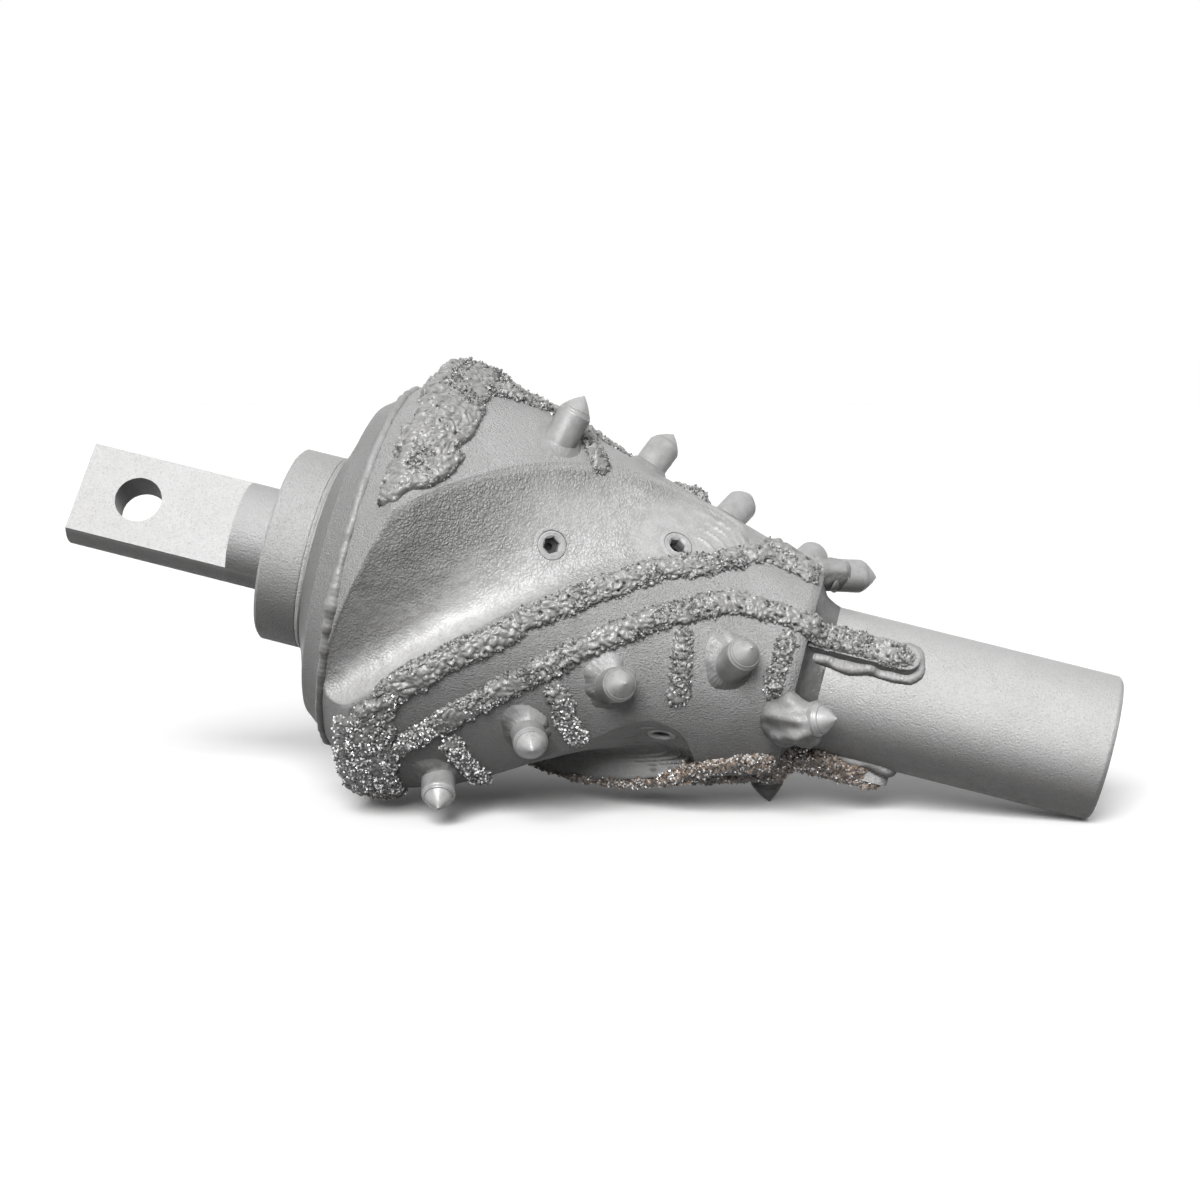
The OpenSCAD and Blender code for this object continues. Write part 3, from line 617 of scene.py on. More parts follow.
def rubber():
    # matt black seal with a fine grain
    g = Graph("sealRubber")
    grain = g.noise(1800, 3, 0.6)
    color = g.blend(grain, grey(0.014), grey(0.035))
    return g.finish(color=color, rough=g.clip(grain, 0.3, 0.7, 0.55, 0.75),
                    normal=g.bump(grain, 0.05))


paints = {  # tone, roughness, cloudiness, turning lines and cast skin of each silver finish
    "silverPaint": {"level": 0.31, "cast": 0.3},
    "stemPaint": {"level": 0.40, "rough": 0.34, "lines": 0.4},
    # the back plate's tone is set low as painted shade, for a face that looks away from the light
    "shadedPlatePaint": {"level": 0.19, "rough": 0.38, "lines": 0.4, "cast": 0.1},
    "capPaint": {"level": 0.34, "rough": 0.36, "lines": 0.5},
    "tangPaint": {"level": 0.44, "rough": 0.40, "mottle": 0.05, "neckX": -0.506},
}
paint, stemPaint, shadedPlatePaint, capPaint, tangPaint = (
    silverPaint(name, **values) for name, values in paints.items())
cutterPaint = bodyPaint()
crust = crustPaint()
grit = gritPaint()
weld = weldPaint("weldPaint", 0.245)
# the weld paint at a third of its level for the nose's fillet: painted shade in the hollow between
# nose and stem
shadedNoseWeld = weldPaint("shadedNoseWeldPaint", 0.085)
bitSteel = bitPaint("bitPaint", 0.28, 0.34, 0.5)
carbide = bitPaint("carbideGrey", 0.33, 0.30, 0.3)
jetSteel = jetPaint()
bearingSteel = machined("bearingSteel", 0.62, 0.16)
brass = machined("cageBrass", 0.50, 0.30, tint=0.35)
plainSteel = machined("plainSteel", 0.36, 0.38)
seal = rubber()
print("materials made")


# Conical bits: places and directions

bitPlaces = [  # share of the body's length behind the nose, angle from the wing's second bead
    [[0.72, -25.5], [0.54, -23], [0.384, -20.5], [0.146, -28], [-0.006, -51]],
    [[0.634, -30], [0.452, -15.5], [0.252, -28.5], [0.062, -31], [-0.016, -38]],
    [[0.68, -26], [0.492, -22], [0.284, -24], [0.038, -32], [-0.012, -56]],
]
bitLeans = [[15, 27], [17, 24], [19, 29], [19, 30], [58, 52]]  # to the nose, to the leading edge
bitSizes = {
    "shankR": 9.5, "stand": 20.0, "shoulder": 2.3, "shoulderR": 8.25, "carbideR": 7.75,
    "carbideH": 8.5, "tipR": 1.0, "noseStand": 4.0, "socket": 3.0, "around": 64,
}


def bitFrame(w, i):
    # mouth of the socket, and the bit's own axis with two directions square to it
    share, angle = bitPlaces[w][i]
    x = cutter["noseX"] - bodyLength * share
    a = ridge(np.array(x)) + angle + w * wingStep
    r = landR(x) + (bitSizes["noseStand"] if i == 4 else 0.0)
    lean, turn = math.radians(bitLeans[i][0]), bitLeans[i][1]
    axis = math.cos(lean) * spin(a + turn) + np.array([math.sin(lean), 0, 0])
    side = unit(np.cross(axis, [1.0, 0, 0]))
    return at(np.array(x), r, a), axis, side, np.cross(axis, side)


def circle(side, up, around):
    # directions all round, from side towards up
    t = np.linspace(0, 2 * np.pi, around, endpoint=False)
    return np.cos(t)[:, None] * side + np.sin(t)[:, None] * up


def revolve(origin, axis, side, up, profile, around):
    # turns a profile of [distance along the axis, radius] round the axis
    profile = np.array(profile, float)
    ring = circle(side, up, around)
    return origin + profile[:, 0][:, None, None] * axis + profile[:, 1][:, None, None] * ring


def arc(x0, r0, x1, r1, bulge, steps):
    # points from one end to the other on a parabola that stands bulge off the straight line
    t = np.linspace(0, 1, steps)
    dx, dr = x1 - x0, r1 - r0
    length = math.hypot(dx, dr)
    off = 4 * bulge * t * (1 - t)
    return [[x0 + dx * s - dr / length * o, r0 + dr * s + dx / length * o] for s, o in zip(t, off)]


def makeBits(w):
    # each shank and its carbide cone are a profile turned round the bit's axis, and the shank is
    # made uneven along its outward directions
    name = wingNames[w]
    s = bitSizes
    tips = []
    for i in range(5):
        origin, axis, side, up = bitFrame(w, i)
        foot = -s["socket"] if i == 4 else -4.0
        top = s["stand"]
        edge = top - s["shoulder"]
        shank = ([[foot, s["shankR"] - 0.8], [foot + 0.8, s["shankR"]]]
                 + [[z, s["shankR"]] for z in np.linspace(2, edge - 0.6, 8)]
                 + arc(edge - 0.5, s["shankR"], edge + 0.5, s["shankR"] - 0.5, 0.12, 4)
                 + arc(edge + 0.6, s["shankR"] - 0.6, top - 0.25, s["shoulderR"] + 0.1, 0.05, 4)
                 + [[top, s["shoulderR"] - 0.2], [top - 0.1, s["carbideR"] - 0.6],
                    [top - 1.0, s["carbideR"] - 1.2]])
        rows = revolve(origin, axis, side, up, shank, s["around"])
        rows = rows + (cloud(rows, 5.0, 40 + i)[..., None] - 0.5) * 0.25 * gridNormals(rows)
        piece(f"conicalBit{name.upper()}{i + 1}", tube(rows), bitSteel,
              nodes=[f"bit_{name}{i + 1}"])
        tip = top + s["carbideH"]
        cone = ([[top - 1.2, s["carbideR"] - 0.6], [top - 0.2, s["carbideR"] - 0.15],
                 [top + 0.3, s["carbideR"]], [top + 0.6, s["carbideR"] - 0.1]]
                + arc(top + 0.9, s["carbideR"] - 0.35, tip - 0.9, s["tipR"] + 0.25, 0.35, 14)
                + arc(tip - 0.7, s["tipR"], tip, 0.12, 0.22, 5))
        tips.append(tube(revolve(origin, axis, side, up, cone, s["around"])))
    piece(f"carbideTips{name.upper()}", join(tips), carbide, nodes=[f"carbide_tips_{name}"])


# Weld collars

collarSizes = {
    "height": 5.6, "foot": 6.4, "puddle": 9.0, "puddleHeight": 0.8, "reach": 34.0,
    "lift": 0.50, "lump": 0.8, "lumpSize": 7.0, "ragged": 2.2, "rows": 24, "around": 120,
    "mass": [[-14, 8], [-12, 10], [-8, 12], [-3, 13], [1, 13.3], [4, 13.2], [7, 12.5],
             [9.5, 11.4], [12, 10.2], [12.5, 9.0]],
    "massReach": [1.32, 0.5, 1.0], "massSize": [0, 2.6, 0.5],
}


def insideBody(p):
    r = np.hypot(p[..., 1], p[..., 2])
    x = p[..., 0]
    body = (x < cutter["noseX"]) & (r < landR(x) - sunk(x, angleOf(p)))
    return body | (r < cutter["stemR"])


def seat(points, direction, reach):
    # slides points along a direction until each is inside the body
    travel = np.arange(-8.0, reach, 0.25)
    way = points[:, None, :] + travel[None, :, None] * direction
    hit = insideBody(way)
    first = np.where(hit.any(1), hit.argmax(1), len(travel) - 1)
    return way[np.arange(len(points)), first]


def makeCollars(w):
    # a fillet between the shank and the body round each bit: a parabola from the foot to the
    # shank, run out in a puddle on the side away from the nose, with a notch where the weld
    # stopped; the nose bit stands in a lumpy mass turned round its own axis
    name = wingNames[w]
    c, s = collarSizes, bitSizes
    t = np.linspace(0, 2 * np.pi, c["around"], endpoint=False)
    solids = []
    for i in range(5):
        origin, axis, side, up = bitFrame(w, i)
        ring = circle(side, up, c["around"])
        wave = (np.sin(2 * t + 1.3 * i + w) * 0.5 + np.sin(3 * t + i) * 0.3
                + np.sin(5 * t + 2.1 * i) * 0.12)
        if i == 4:
            reach = c["massReach"][w]
            mass = [[z * (reach if z > 0 else 1), max(r - c["massSize"][w], 9.0)]
                    for z, r in c["mass"]]
            rows = revolve(origin, axis, side, up, mass, c["around"])
            lumps = (cloud(rows, 8.0, 17 + w) - 0.5)[..., None] * 6.5
            rows = rows + ring * ((wave * 1.6)[None, :, None] + lumps)
            rows = rows + gridNormals(rows) * ((cloud(rows, 5.0, 19) - 0.5) * 3.2)[..., None]
            rows[-1] = origin + 12.3 * reach * axis + 9.0 * ring
            solids.append(tube(rows))
            continue
        roundTool = unit(np.cross([1.0, 0, 0], spin(angleOf(origin))))
        away = unit(np.array([-0.6, 0, 0]) - 0.8 * roundTool)
        puddle = np.clip(ring @ away, 0, 1) ** 2.5
        gap = np.mod(t - 1.1 - 0.9 * i - 2.0 * w, 2 * np.pi) - np.pi
        notch = np.exp(-(gap / 0.2) ** 2)
        lobe = np.exp(-((np.abs(gap) - 0.42) / 0.25) ** 2)
        width = c["foot"] * (0.80 + 0.20 * wave - 0.16 * notch + 0.14 * lobe)
        width = width + c["puddle"] * puddle
        tall = c["height"] * (0.78 + 0.14 * wave - 0.18 * notch + 0.12 * lobe)
        tall = tall + c["puddleHeight"] * puddle
        width = width + (cloud(origin + 18 * ring, 6.0, 51 + i) - 0.5) * c["ragged"]
        foot = seat(origin + (s["shankR"] + width)[:, None] * ring, -axis, c["reach"])
        root = seat(origin + (s["shankR"] - 0.5) * ring, -axis, c["reach"])
        top = root + tall[:, None] * axis
        q = np.linspace(0, 1, c["rows"])[:, None, None]
        corner = root * (1 - c["lift"]) + (foot + top) / 2 * c["lift"]
        rows = (1 - q) ** 2 * (foot - axis * 1.6) + 2 * q * (1 - q) * corner + q * q * top
        fade = np.sin(np.pi * np.clip(q, 0.02, 0.94))
        bumps = (cloud(rows, c["lumpSize"], 11 + i) - 0.45) * 2 * c["lump"]
        bumps = bumps + (cloud(rows, 3.2, 5) - 0.5) * 0.35
        ripple = np.sin(t * 30 + 6 * q[..., 0]) * 0.05
        rows = rows + gridNormals(rows) * (bumps + ripple + 0.3)[..., None] * fade
        solids.append(tube(np.concatenate([(root - axis * 2.0)[None], rows[:1] - axis, rows])))
    piece(f"bitWelds{name.upper()}", join(solids), weld, nodes=[f"bit_welds_{name}"], sharp=180)


# Hardfacing

def nearFloor(p, upTo):
    # 1 close above what the object stands on, where it turns brown: partly rust where its paint
    # never reached, partly a painted reflection of a brown floor
    return ramp((upTo - (p @ floorUp - floorLow)) / upTo * 1.6)


hardface = {
    "beadW": 14.0, "beadH": 4.5, "padH": 5.0, "fusion": 1.2, "stripW": 11.9, "stripH": 4.05,
    "step": 0.66, "lump": 4.6, "bend": 5.0, "grain": 1.8, "pit": 4.6, "rise": 1.45,
    "fused": 0.16, "loose": 0.72, "pitDepth": 1.4, "chips": 5600, "chipSize": 0.92,
}
# both ends of each cross strip: share of the way to the next bit, angle from the second bead
strips = [[0.1, -7, 0.57, -46], [0.23, -7, 0.74, -43], [0.5, -7, 0.62, -43], [0.7, -7, 0.62, -42]]
ribTop = cutter["stemR"] + 9
ribLength = 62.0


def lowDown(p):
    # 1 on the underside, where the grains lie bare and close; it also darkens the crust there as
    # painted shade
    return ramp((100 - (p @ floorUp - floorLow)) / 60)


def crumble(p, n, edge, seed):
    # lifts a grid of points along its normals: flat lumps with creases and a few round pits where
    # the metal fused, leaning facets with dark gaps in the granular places and along the borders
    h = hardface
    bent = p + (np.stack([cloud(p, 5.0, seed + k) for k in (20, 21, 22)], -1) - 0.5) * h["bend"]
    f1, f2, number, slope = grains(bent, h["lump"], seed)
    g1, g2, small, facet = grains(p, h["grain"], seed + 50)
    c1, _, hole, _ = grains(p, h["pit"], seed + 90)
    loose = ramp((cloud(p, 11.0, seed + 7) - 0.55 + lowDown(p) * 0.4) / 0.16)
    loose = np.maximum(loose, 0.85 * (1 - ramp((edge - 0.40) / 0.5)))
    plateau = ramp((f2 - f1) / 0.55)
    lump = plateau * (0.45 + 0.75 * number) + slope * 0.3
    gap = 1 - ramp((g2 - g1) / 0.2)
    pit = np.exp(-(c1 / 0.22) ** 4) * (hole > 0.55) * (1 - 0.6 * loose)
    leaning = (small + facet * 0.6 - 0.5 - gap * 0.3) * (h["fused"] + h["loose"] * loose)
    pit = pit * h["pitDepth"]
    lift = ((lump - 0.5) * h["rise"] + leaning - pit) * ramp(edge / 0.2)
    # colour level: low in pits and gaps for painted shade, high on the lumps' tops for painted
    # highlight
    high = (0.42 + 0.4 * plateau * (0.5 + 0.5 * number) + 0.2 * small - pit
            - gap * (0.08 + 0.5 * loose))
    return p + n * lift[..., None], np.clip(high, 0, 1), loose


def runLength(points):
    return np.concatenate([[0], np.cumsum(np.linalg.norm(np.diff(points, axis=0), axis=1))])


def sweep(path, normal, wide, high, radius, seed, rough=True):
    # carries a flattened arch along a path over the body, and crumbles its top or ripples it as
    # weld; the bottom is the same width, sunk under the surface
    h = hardface
    wide = wide + 0 * path[:, 0]
    steps = max(int(wide.max() * 1.5 / h["step"]), 8)
    t = np.linspace(0, np.pi, steps)
    across = -np.sign(np.cos(t)) * np.abs(np.cos(t)) ** 0.85
    arch = np.sin(t) ** 0.62
    forward = unit(np.gradient(path, axis=0))
    up = unit(normal - forward * (normal * forward).sum(-1, keepdims=True))
    side = np.cross(up, forward)
    length = runLength(path)
    wander = np.stack([length, 0 * length + seed * 3.1, 0 * length], -1)
    swell = 0.88 + 0.26 * cloud(wander, 9.0, seed)
    drift = (cloud(wander, 13.0, seed + 2) - 0.5) * 2.4
    toEnd = np.minimum(length + 0.3, length[-1] - length + 0.3)
    ends = np.sqrt(np.clip(toEnd / (wide * 0.5), 0, 1))
    half = wide / 2 * swell * (0.25 + 0.75 * ends)
    tall = high * (0.84 + 0.3 * cloud(wander, 6.0, seed + 4)) * ends
    off = across[None, :] * half[:, None] + drift[:, None]
    sag = off ** 2 / 2 / np.maximum(radius, 1)[:, None]
    rise = arch[None, :] * tall[:, None] - h["fusion"] * (1 - arch[None, :]) - sag
    p = path[:, None, :] + side[:, None, :] * off[..., None] + up[:, None, :] * rise[..., None]
    n = gridNormals(p)
    n = n * np.sign((n * up[:, None, :]).sum(-1))[..., None]
    edge = arch[None, :] * ends[:, None]
    if rough:
        p, level, loose = crumble(p, n, edge, seed)
    else:
        ripple = np.sin(length[:, None] * 2.7 - 5 * edge) * 0.14
        ripple = ripple + (cloud(p, 6.0, seed) - 0.5) * 2.4
        p = p + n * (ripple * ramp(edge / 0.3))[..., None]
        level = loose = np.ones(edge.shape) * 0.8
    offUnder, sagUnder = (v[:, ::-1][:, 2:-2:4] for v in (off, sag))
    under = (path[:, None, :] + side[:, None, :] * offUnder[..., None] * 0.9
             - up[:, None, :] * (h["fusion"] * 1.6 + sagUnder)[..., None])
    levels = np.concatenate([level, np.zeros(under.shape[:2])], 1).ravel()
    return tube(np.concatenate([p, under], 1)), levels, p, n, loose


def resample(points, normals, smooth=5.0):
    # even steps along a list of points, rounded by a moving average
    step = hardface["step"]
    length = runLength(points)
    s = np.linspace(0, length[-1], max(int(length[-1] / step), 4))
    both = np.stack([np.interp(s, length, v) for v in np.concatenate([points, normals], 1).T], -1)
    k = max(int(smooth / step) | 1, 3)
    padded = np.concatenate([2 * both[:1] - both[k // 2:0:-1], both,
                             2 * both[-1:] - both[-2:-k // 2 - 1:-1]])
    both = np.stack([np.convolve(v, np.ones(k) / k, "valid") for v in padded.T], -1)
    return both[:, :3], unit(both[:, 3:])


def pad(w, seed):
    # a grid over the gauge corner of the land, raised by the pad's height times a quarter round at
    # its ragged border, then crumbled
    h = hardface
    nx, na = int(40 / h["step"]), int(146 / h["step"])
    u = np.linspace(0, 1, nx)[:, None] + np.zeros(na)
    v = np.linspace(0, 1, na)[None, :] + np.zeros((nx, 1))
    x = cutter["plateX"] + bodyLength * (0.048 + 0.152 * u)
    landAngle = cutter["leadingEdge"] - trailingEdge - 2
    a = ridge(x) + trailingEdge + 1 + landAngle * v + w * wingStep
    acrossRim, alongRim = np.minimum(u, 1 - u) * 38, np.minimum(v, 1 - v) * 144
    corner = 13.0  # radius of the rounded corners
    rim = np.minimum(acrossRim, alongRim)
    cut = corner - np.hypot(np.maximum(corner - acrossRim, 0), np.maximum(corner - alongRim, 0))
    rim = np.where((acrossRim < corner) & (alongRim < corner), cut, rim)
    rim = rim - 4.5 * ramp((cloud(onBody(x, a), 8.5, seed + 5) - 0.35) / 0.4)
    edge = np.sqrt(np.clip(1 - (1 - np.clip(rim / 5.0, 0, 1)) ** 2, 0, 1))
    n = landNormal(x, a)
    base = onBody(x, a)
    rise = h["padH"] * (0.8 + 0.3 * cloud(base, 8.0, seed)) * edge - h["fusion"] * (1 - edge)
    p, level, loose = crumble(base + n * rise[..., None], n, np.clip(edge, 0, 1), seed)
    bottom = (base - n * h["fusion"] * 1.5)[:, ::-1][:, ::3]
    levels = np.concatenate([level, np.zeros(bottom.shape[:2])], 1).ravel()
    return tube(np.concatenate([p, bottom], 1)), levels, p, n, loose


def chips(p, n, loose, count, seed):
    # angular grains stuck in the crust: stretched octahedra turned at random, closest together in
    # the granular places and on the underside
    rng = np.random.default_rng(seed)
    weight = 0.03 + loose * (0.5 + 0.5 * lowDown(p))
    pick = rng.choice(len(p), count, p=weight / weight.sum())
    octa = np.array([[1, 0, 0], [-1, 0, 0], [0, 1, 0], [0, -1, 0], [0, 0, 1], [0, 0, -1]], float)
    tri = np.array([[0, 2, 4], [2, 1, 4], [1, 3, 4], [3, 0, 4],
                    [2, 0, 5], [1, 2, 5], [3, 1, 5], [0, 3, 5]])
    turn = np.linalg.qr(rng.normal(size=(count, 3, 3)))[0]
    turn[:, :, 0] *= np.sign(np.linalg.det(turn))[:, None]
    size = hardface["chipSize"] * rng.uniform(0.55, 1.25, (count, 1, 3))
    points = np.einsum("kij,knj->kni", turn, octa[None] * size)
    points = points + (p[pick] + n[pick] * 0.15)[:, None, :]
    faces = (tri[None] + np.arange(count)[:, None, None] * 6).reshape(-1, 3)
    return points.reshape(-1, 3), faces


def wingRuns(w):
    # paths of a wing's beads and strips, as stations and angles on the body, each with its normals,
    # width and height: the first bead beside the flute's wall, the second along the wing's ridge
    # and out over the nose and the rib, the strips from one to the other between the bits
    h, c = hardface, cutter
    turn = w * wingStep
    runs = []

    def addRun(points, normals, wide, high, smooth=5.0):
        points, normals = resample(points, normals, smooth)
        factor = wide(points[:, 0]) if callable(wide) else wide
        runs.append((points, normals, factor, high))

    def firstBead(x):
        nearNose, nearRim = ramp((x - fluteCloseX) / 28 + 0.6), ramp((-335 - x) / 45)
        return ridge(x) + 20 + 14 * nearNose + 3 * nearRim + turn

    def firstWidth(x):
        return h["beadW"] * (1 + 0.3 * ramp((-330 - x) / 50) + 0.12 * ramp((x + 215) / 20))

    def overNose(dx, r):
        return out * r + [[c["noseX"] + dx, 0, 0]]

    x = np.arange(c["plateX"] + 36, c["noseX"] - 1, 1.0)
    addRun(onBody(x, firstBead(x)), landNormal(x, firstBead(x)), firstWidth, h["beadH"])
    if w < 2:
        x = np.arange(c["noseX"] - c["fluteEnd"] * 0.85, c["noseX"] - 2, 1.0)
        a = firstBead(x) + 12
        addRun(onBody(x, a), landNormal(x, a), h["beadW"] * 1.1, h["beadH"])
    x = np.arange(c["plateX"] + 38, c["noseX"] - 5, 1.0)
    a = ridge(x) + turn
    out = spin(np.array([ridge(c["noseX"]) + turn]))
    front = np.array([[1.0, 0, 0]])
    tail = [(-4, landR(c["noseX"] - 4), 0), (0.5, 59.3, 0.7), (3.0, 54.5, 1)]
    tail += [(ribLength * t, ribTop, 0) for t in (0.13, 0.4, 0.7, 0.95)]
    addRun(np.concatenate([onBody(x, a)] + [overNose(dx, r) for dx, r, _ in tail]),
           np.concatenate([landNormal(x, a)] + [unit(out + lean * front) for _, _, lean in tail]),
           h["beadW"], h["beadH"])
    if w == 2:
        # the side of the lowest rib is buried under metal that ran down it
        x = np.arange(c["noseX"] - 22, c["noseX"] + 50, 1.0)
        a = ridge(c["noseX"]) + 9 + turn + 0 * x
        addRun(at(x, 45.5 + 9 * ramp((c["noseX"] + 6 - x) / 14), a), spin(a + 35),
               h["beadW"] * 1.15, 6.0)
    for i, (s0, a0, s1, a1) in enumerate(strips):
        x0, x1 = (c["noseX"] - bodyLength * bitPlaces[w][k][0] for k in (i, i + 1))
        if x1 - x0 <= 2 * bitSizes["shankR"] + h["stripW"]:
            continue
        t = np.linspace(0, 1, 60)
        x = x0 + (x1 - x0) * (s0 + (s1 - s0) * t)
        a = ridge(x) + a0 + (a1 - a0) * t + turn
        addRun(onBody(x, a), landNormal(x, a), h["stripW"], h["stripH"], 3.0)
    return runs


def makeHardfacing(w):
    # an arch swept along each path, the pad over the gauge corner, and grains strewn on both
    name, h = wingNames[w], hardface
    parts = []
    for k, (p, n, wide, high) in enumerate(wingRuns(w)):
        under = np.where(p[:, 0] < cutter["noseX"] - 6, landR(p[:, 0]), 1e6)
        parts.append(sweep(p, n, wide, high, under, 10 * w + k + 1))
    parts.append(pad(w, 10 * w + 9))
    solid = join([q[0] for q in parts])
    # the brown near the floor is partly rust and partly a painted reflection of a brown floor
    low = 70.0 if w == 2 else 18.0  # how high over the floor the rust reaches
    piece(f"hardfacing{name.upper()}", solid, crust, nodes=[f"hardfacing_{name}"],
          sharp=62,
          values={"high": np.concatenate([q[1] for q in parts]),
                  "warm": nearFloor(solid[0], low), "low": lowDown(solid[0])})
    p, n = (np.concatenate([q[k].reshape(-1, 3) for q in parts]) for k in (2, 3))
    points, faces = chips(p, n, np.concatenate([q[4].ravel() for q in parts]), h["chips"], 70 + w)
    tone = np.repeat(np.random.default_rng(w).uniform(0, 1, h["chips"]), 6)
    tone = tone * (0.56 + 0.44 * lowDown(points))
    piece(f"carbideGrit{name.upper()}", (points, faces.tolist()), grit, sharp=0,
          values={"tone": tone, "warm": nearFloor(points, low)})


# Cutter body

bodyGrid = {"rear": 26, "along": 236, "flute": 74, "land": 44}
castSkin = {"lump": 0.55, "terrace": 1.2, "edge": 3.0, "edgeLength": 6.0}
# wing, share of the body's length behind the nose, angle from the second bead
jetPlaces = [[0, 0.584, 49], [0, 0.328, 45], [2, 0.584, 49], [2, 0.26, 59], [1, 0.584, 49],
             [1, 0.328, 45]]
jetHole = {"r": 8.3, "depth": 12.5, "flatR": 8.6, "flatFade": 7.0, "ringR": 10.8}
bitRing = 19.5  # radius of the mark turned round each bit's socket


def jetAxis(place):
    # a point on the jet's axis, its direction square to the flute's floor, and how far along it
    # the floor is
    wing, share, angle = place
    x = np.array(cutter["noseX"] - bodyLength * share)
    a = ridge(x) + angle + wing * wingStep
    out = np.cross(onBody(x + 5, a) - onBody(x - 5, a), onBody(x, a + 3) - onBody(x, a - 3))
    axis = unit(out * np.sign(out @ spin(a)))
    surface = float(landR(x) - sunk(x, a))
    return onBody(x, a) - surface * axis, axis, surface


def offAxis(p, origin, axis):
    # distance of points from an axis, and how far along it they are
    v = p - origin
    along = v @ axis
    return np.linalg.norm(v - along[..., None] * axis, axis=-1), along


def bodySurface():
    # radius of the land less the flute's depth, as a function of the station and the angle from
    # the leading edge, on a grid that turns with the helix; the cast skin lifts it by noise and
    # by terraces at the flutes' ends. Also painted shade: shade deep in the flute under its
    # trailing edge, dim along its front end and beside its leading edge
    g, c, skin = bodyGrid, cutter, castSkin
    edge = c["plateX"] + c["chamfer"]
    x = np.concatenate([np.linspace(c["plateX"], edge - 0.6, g["rear"]),
                        np.linspace(edge + 0.6, c["noseX"] - 1.2, g["along"]), [c["noseX"]]])
    t = np.linspace(0, 1, g["flute"], endpoint=False) ** 1.7
    s = np.linspace(0, 1, g["land"], endpoint=False)
    wide = fluteWidth(x)[:, None]
    one = np.concatenate([wide * t, wide + (wingStep - wide) * s], 1)
    a = np.concatenate([one + k * wingStep for k in range(3)], 1)
    a = a + (ridge(x) + c["leadingEdge"])[:, None]
    xx = x[:, None] + 0 * a
    depth = sunk(xx, a)
    p = at(xx, landR(xx) - depth, a)
    inFlute = ramp(depth / 2.5)
    into = np.mod(a - ridge(xx) - c["leadingEdge"] + 1e-6, wingStep) / fluteWidth(xx)
    # painted shade: darker deep in the flute towards its trailing edge at the rear and along that
    # edge, beside its leading edge and towards its front end
    shade = ramp((into - 0.42) / 0.45) * ramp((-265 - xx) / 110) + 0.45 * ramp((into - 0.75) / 0.25)
    shade = shade + 0.5 * (cloud(p, 16.0, 25) - 0.5) * (shade > 0.02)
    shade = np.clip(shade, 0, 1) * (into < 1) * inFlute
    beside = ramp((0.30 - into) / 0.2) * ramp((xx + 345) / 50)
    dim = np.clip(shade + 0.6 * ramp((xx + 285) / 60) + 0.75 * beside, 0, 1) * (into < 1) * inFlute
    lump = (cloud(p, 9.0, 21) - 0.5) * 0.9 + (cloud(p, 3.6, 22) - 0.5) * 0.45
    near = ramp((xx - runoutX + 10) / 30)
    terrace = np.mod(depth * 0.42 + xx * 0.02, 1) - 0.5
    step = np.exp(-(terrace / 0.09) ** 2) * near * skin["terrace"] * ramp(depth / 1.5)
    lift = lump * skin["lump"] * inFlute * (1 - 0.75 * near) + step
    lift = lift + (cloud(p, 14.0, 23) - 0.5) * 0.3
    lift = lift * ramp((xx - c["plateX"]) / 6) * ramp((c["noseX"] - xx) / 4)
    rounded = np.clip((xx - c["noseX"] + skin["edgeLength"]) / skin["edgeLength"], 0, 1)
    lift = lift - skin["edge"] * rounded ** 2
    border = np.zeros(xx.shape, bool)
    border[:, np.arange(3)[:, None] * (g["flute"] + g["land"]) + [0, g["flute"]]] = True
    return p + spin(a) * lift[..., None], inFlute, shade, dim, border & (xx < fluteCloseX)


def cutJetHoles(points, faces, ringMark):
    # flattens the floor round each jet, takes out the faces inside its hole, puts the border on a
    # circle, and follows the border's edges to give the hole's rim in order
    h = jetHole
    walls = []
    for place in jetPlaces:
        origin, axis, surface = jetAxis(place)
        d, along = offAxis(points, origin, axis)
        close = along > surface - 25
        flat = (1 - ramp((d - h["flatR"]) / h["flatFade"])) * close
        points += axis * ((surface - along) * flat)[:, None]
        along = along + (surface - along) * flat
        ringMark += np.where(close, np.exp(-((d - h["ringR"]) / 0.9) ** 2) * 0.5, 0)
        inside = (d < h["r"]) & close
        gone = inside[faces].all(1)
        edges = np.stack([faces[gone], np.roll(faces[gone], -1, axis=1)], -1).reshape(-1, 2)
        edges = edges[~np.isin(edges @ [len(points), 1], edges @ [1, len(points)])]
        faces = faces[~gone]
        snap = np.unique(faces)
        snap = snap[inside[snap]]
        foot = origin + along[snap][:, None] * axis
        points[snap] = foot + unit(points[snap] - foot) * h["r"]
        follow = dict(edges.tolist())
        order = [int(edges[0, 0])]
        while follow[order[-1]] != order[0]:
            order.append(follow[order[-1]])
        walls.append((np.array(order), origin, axis, surface))
    return faces, walls


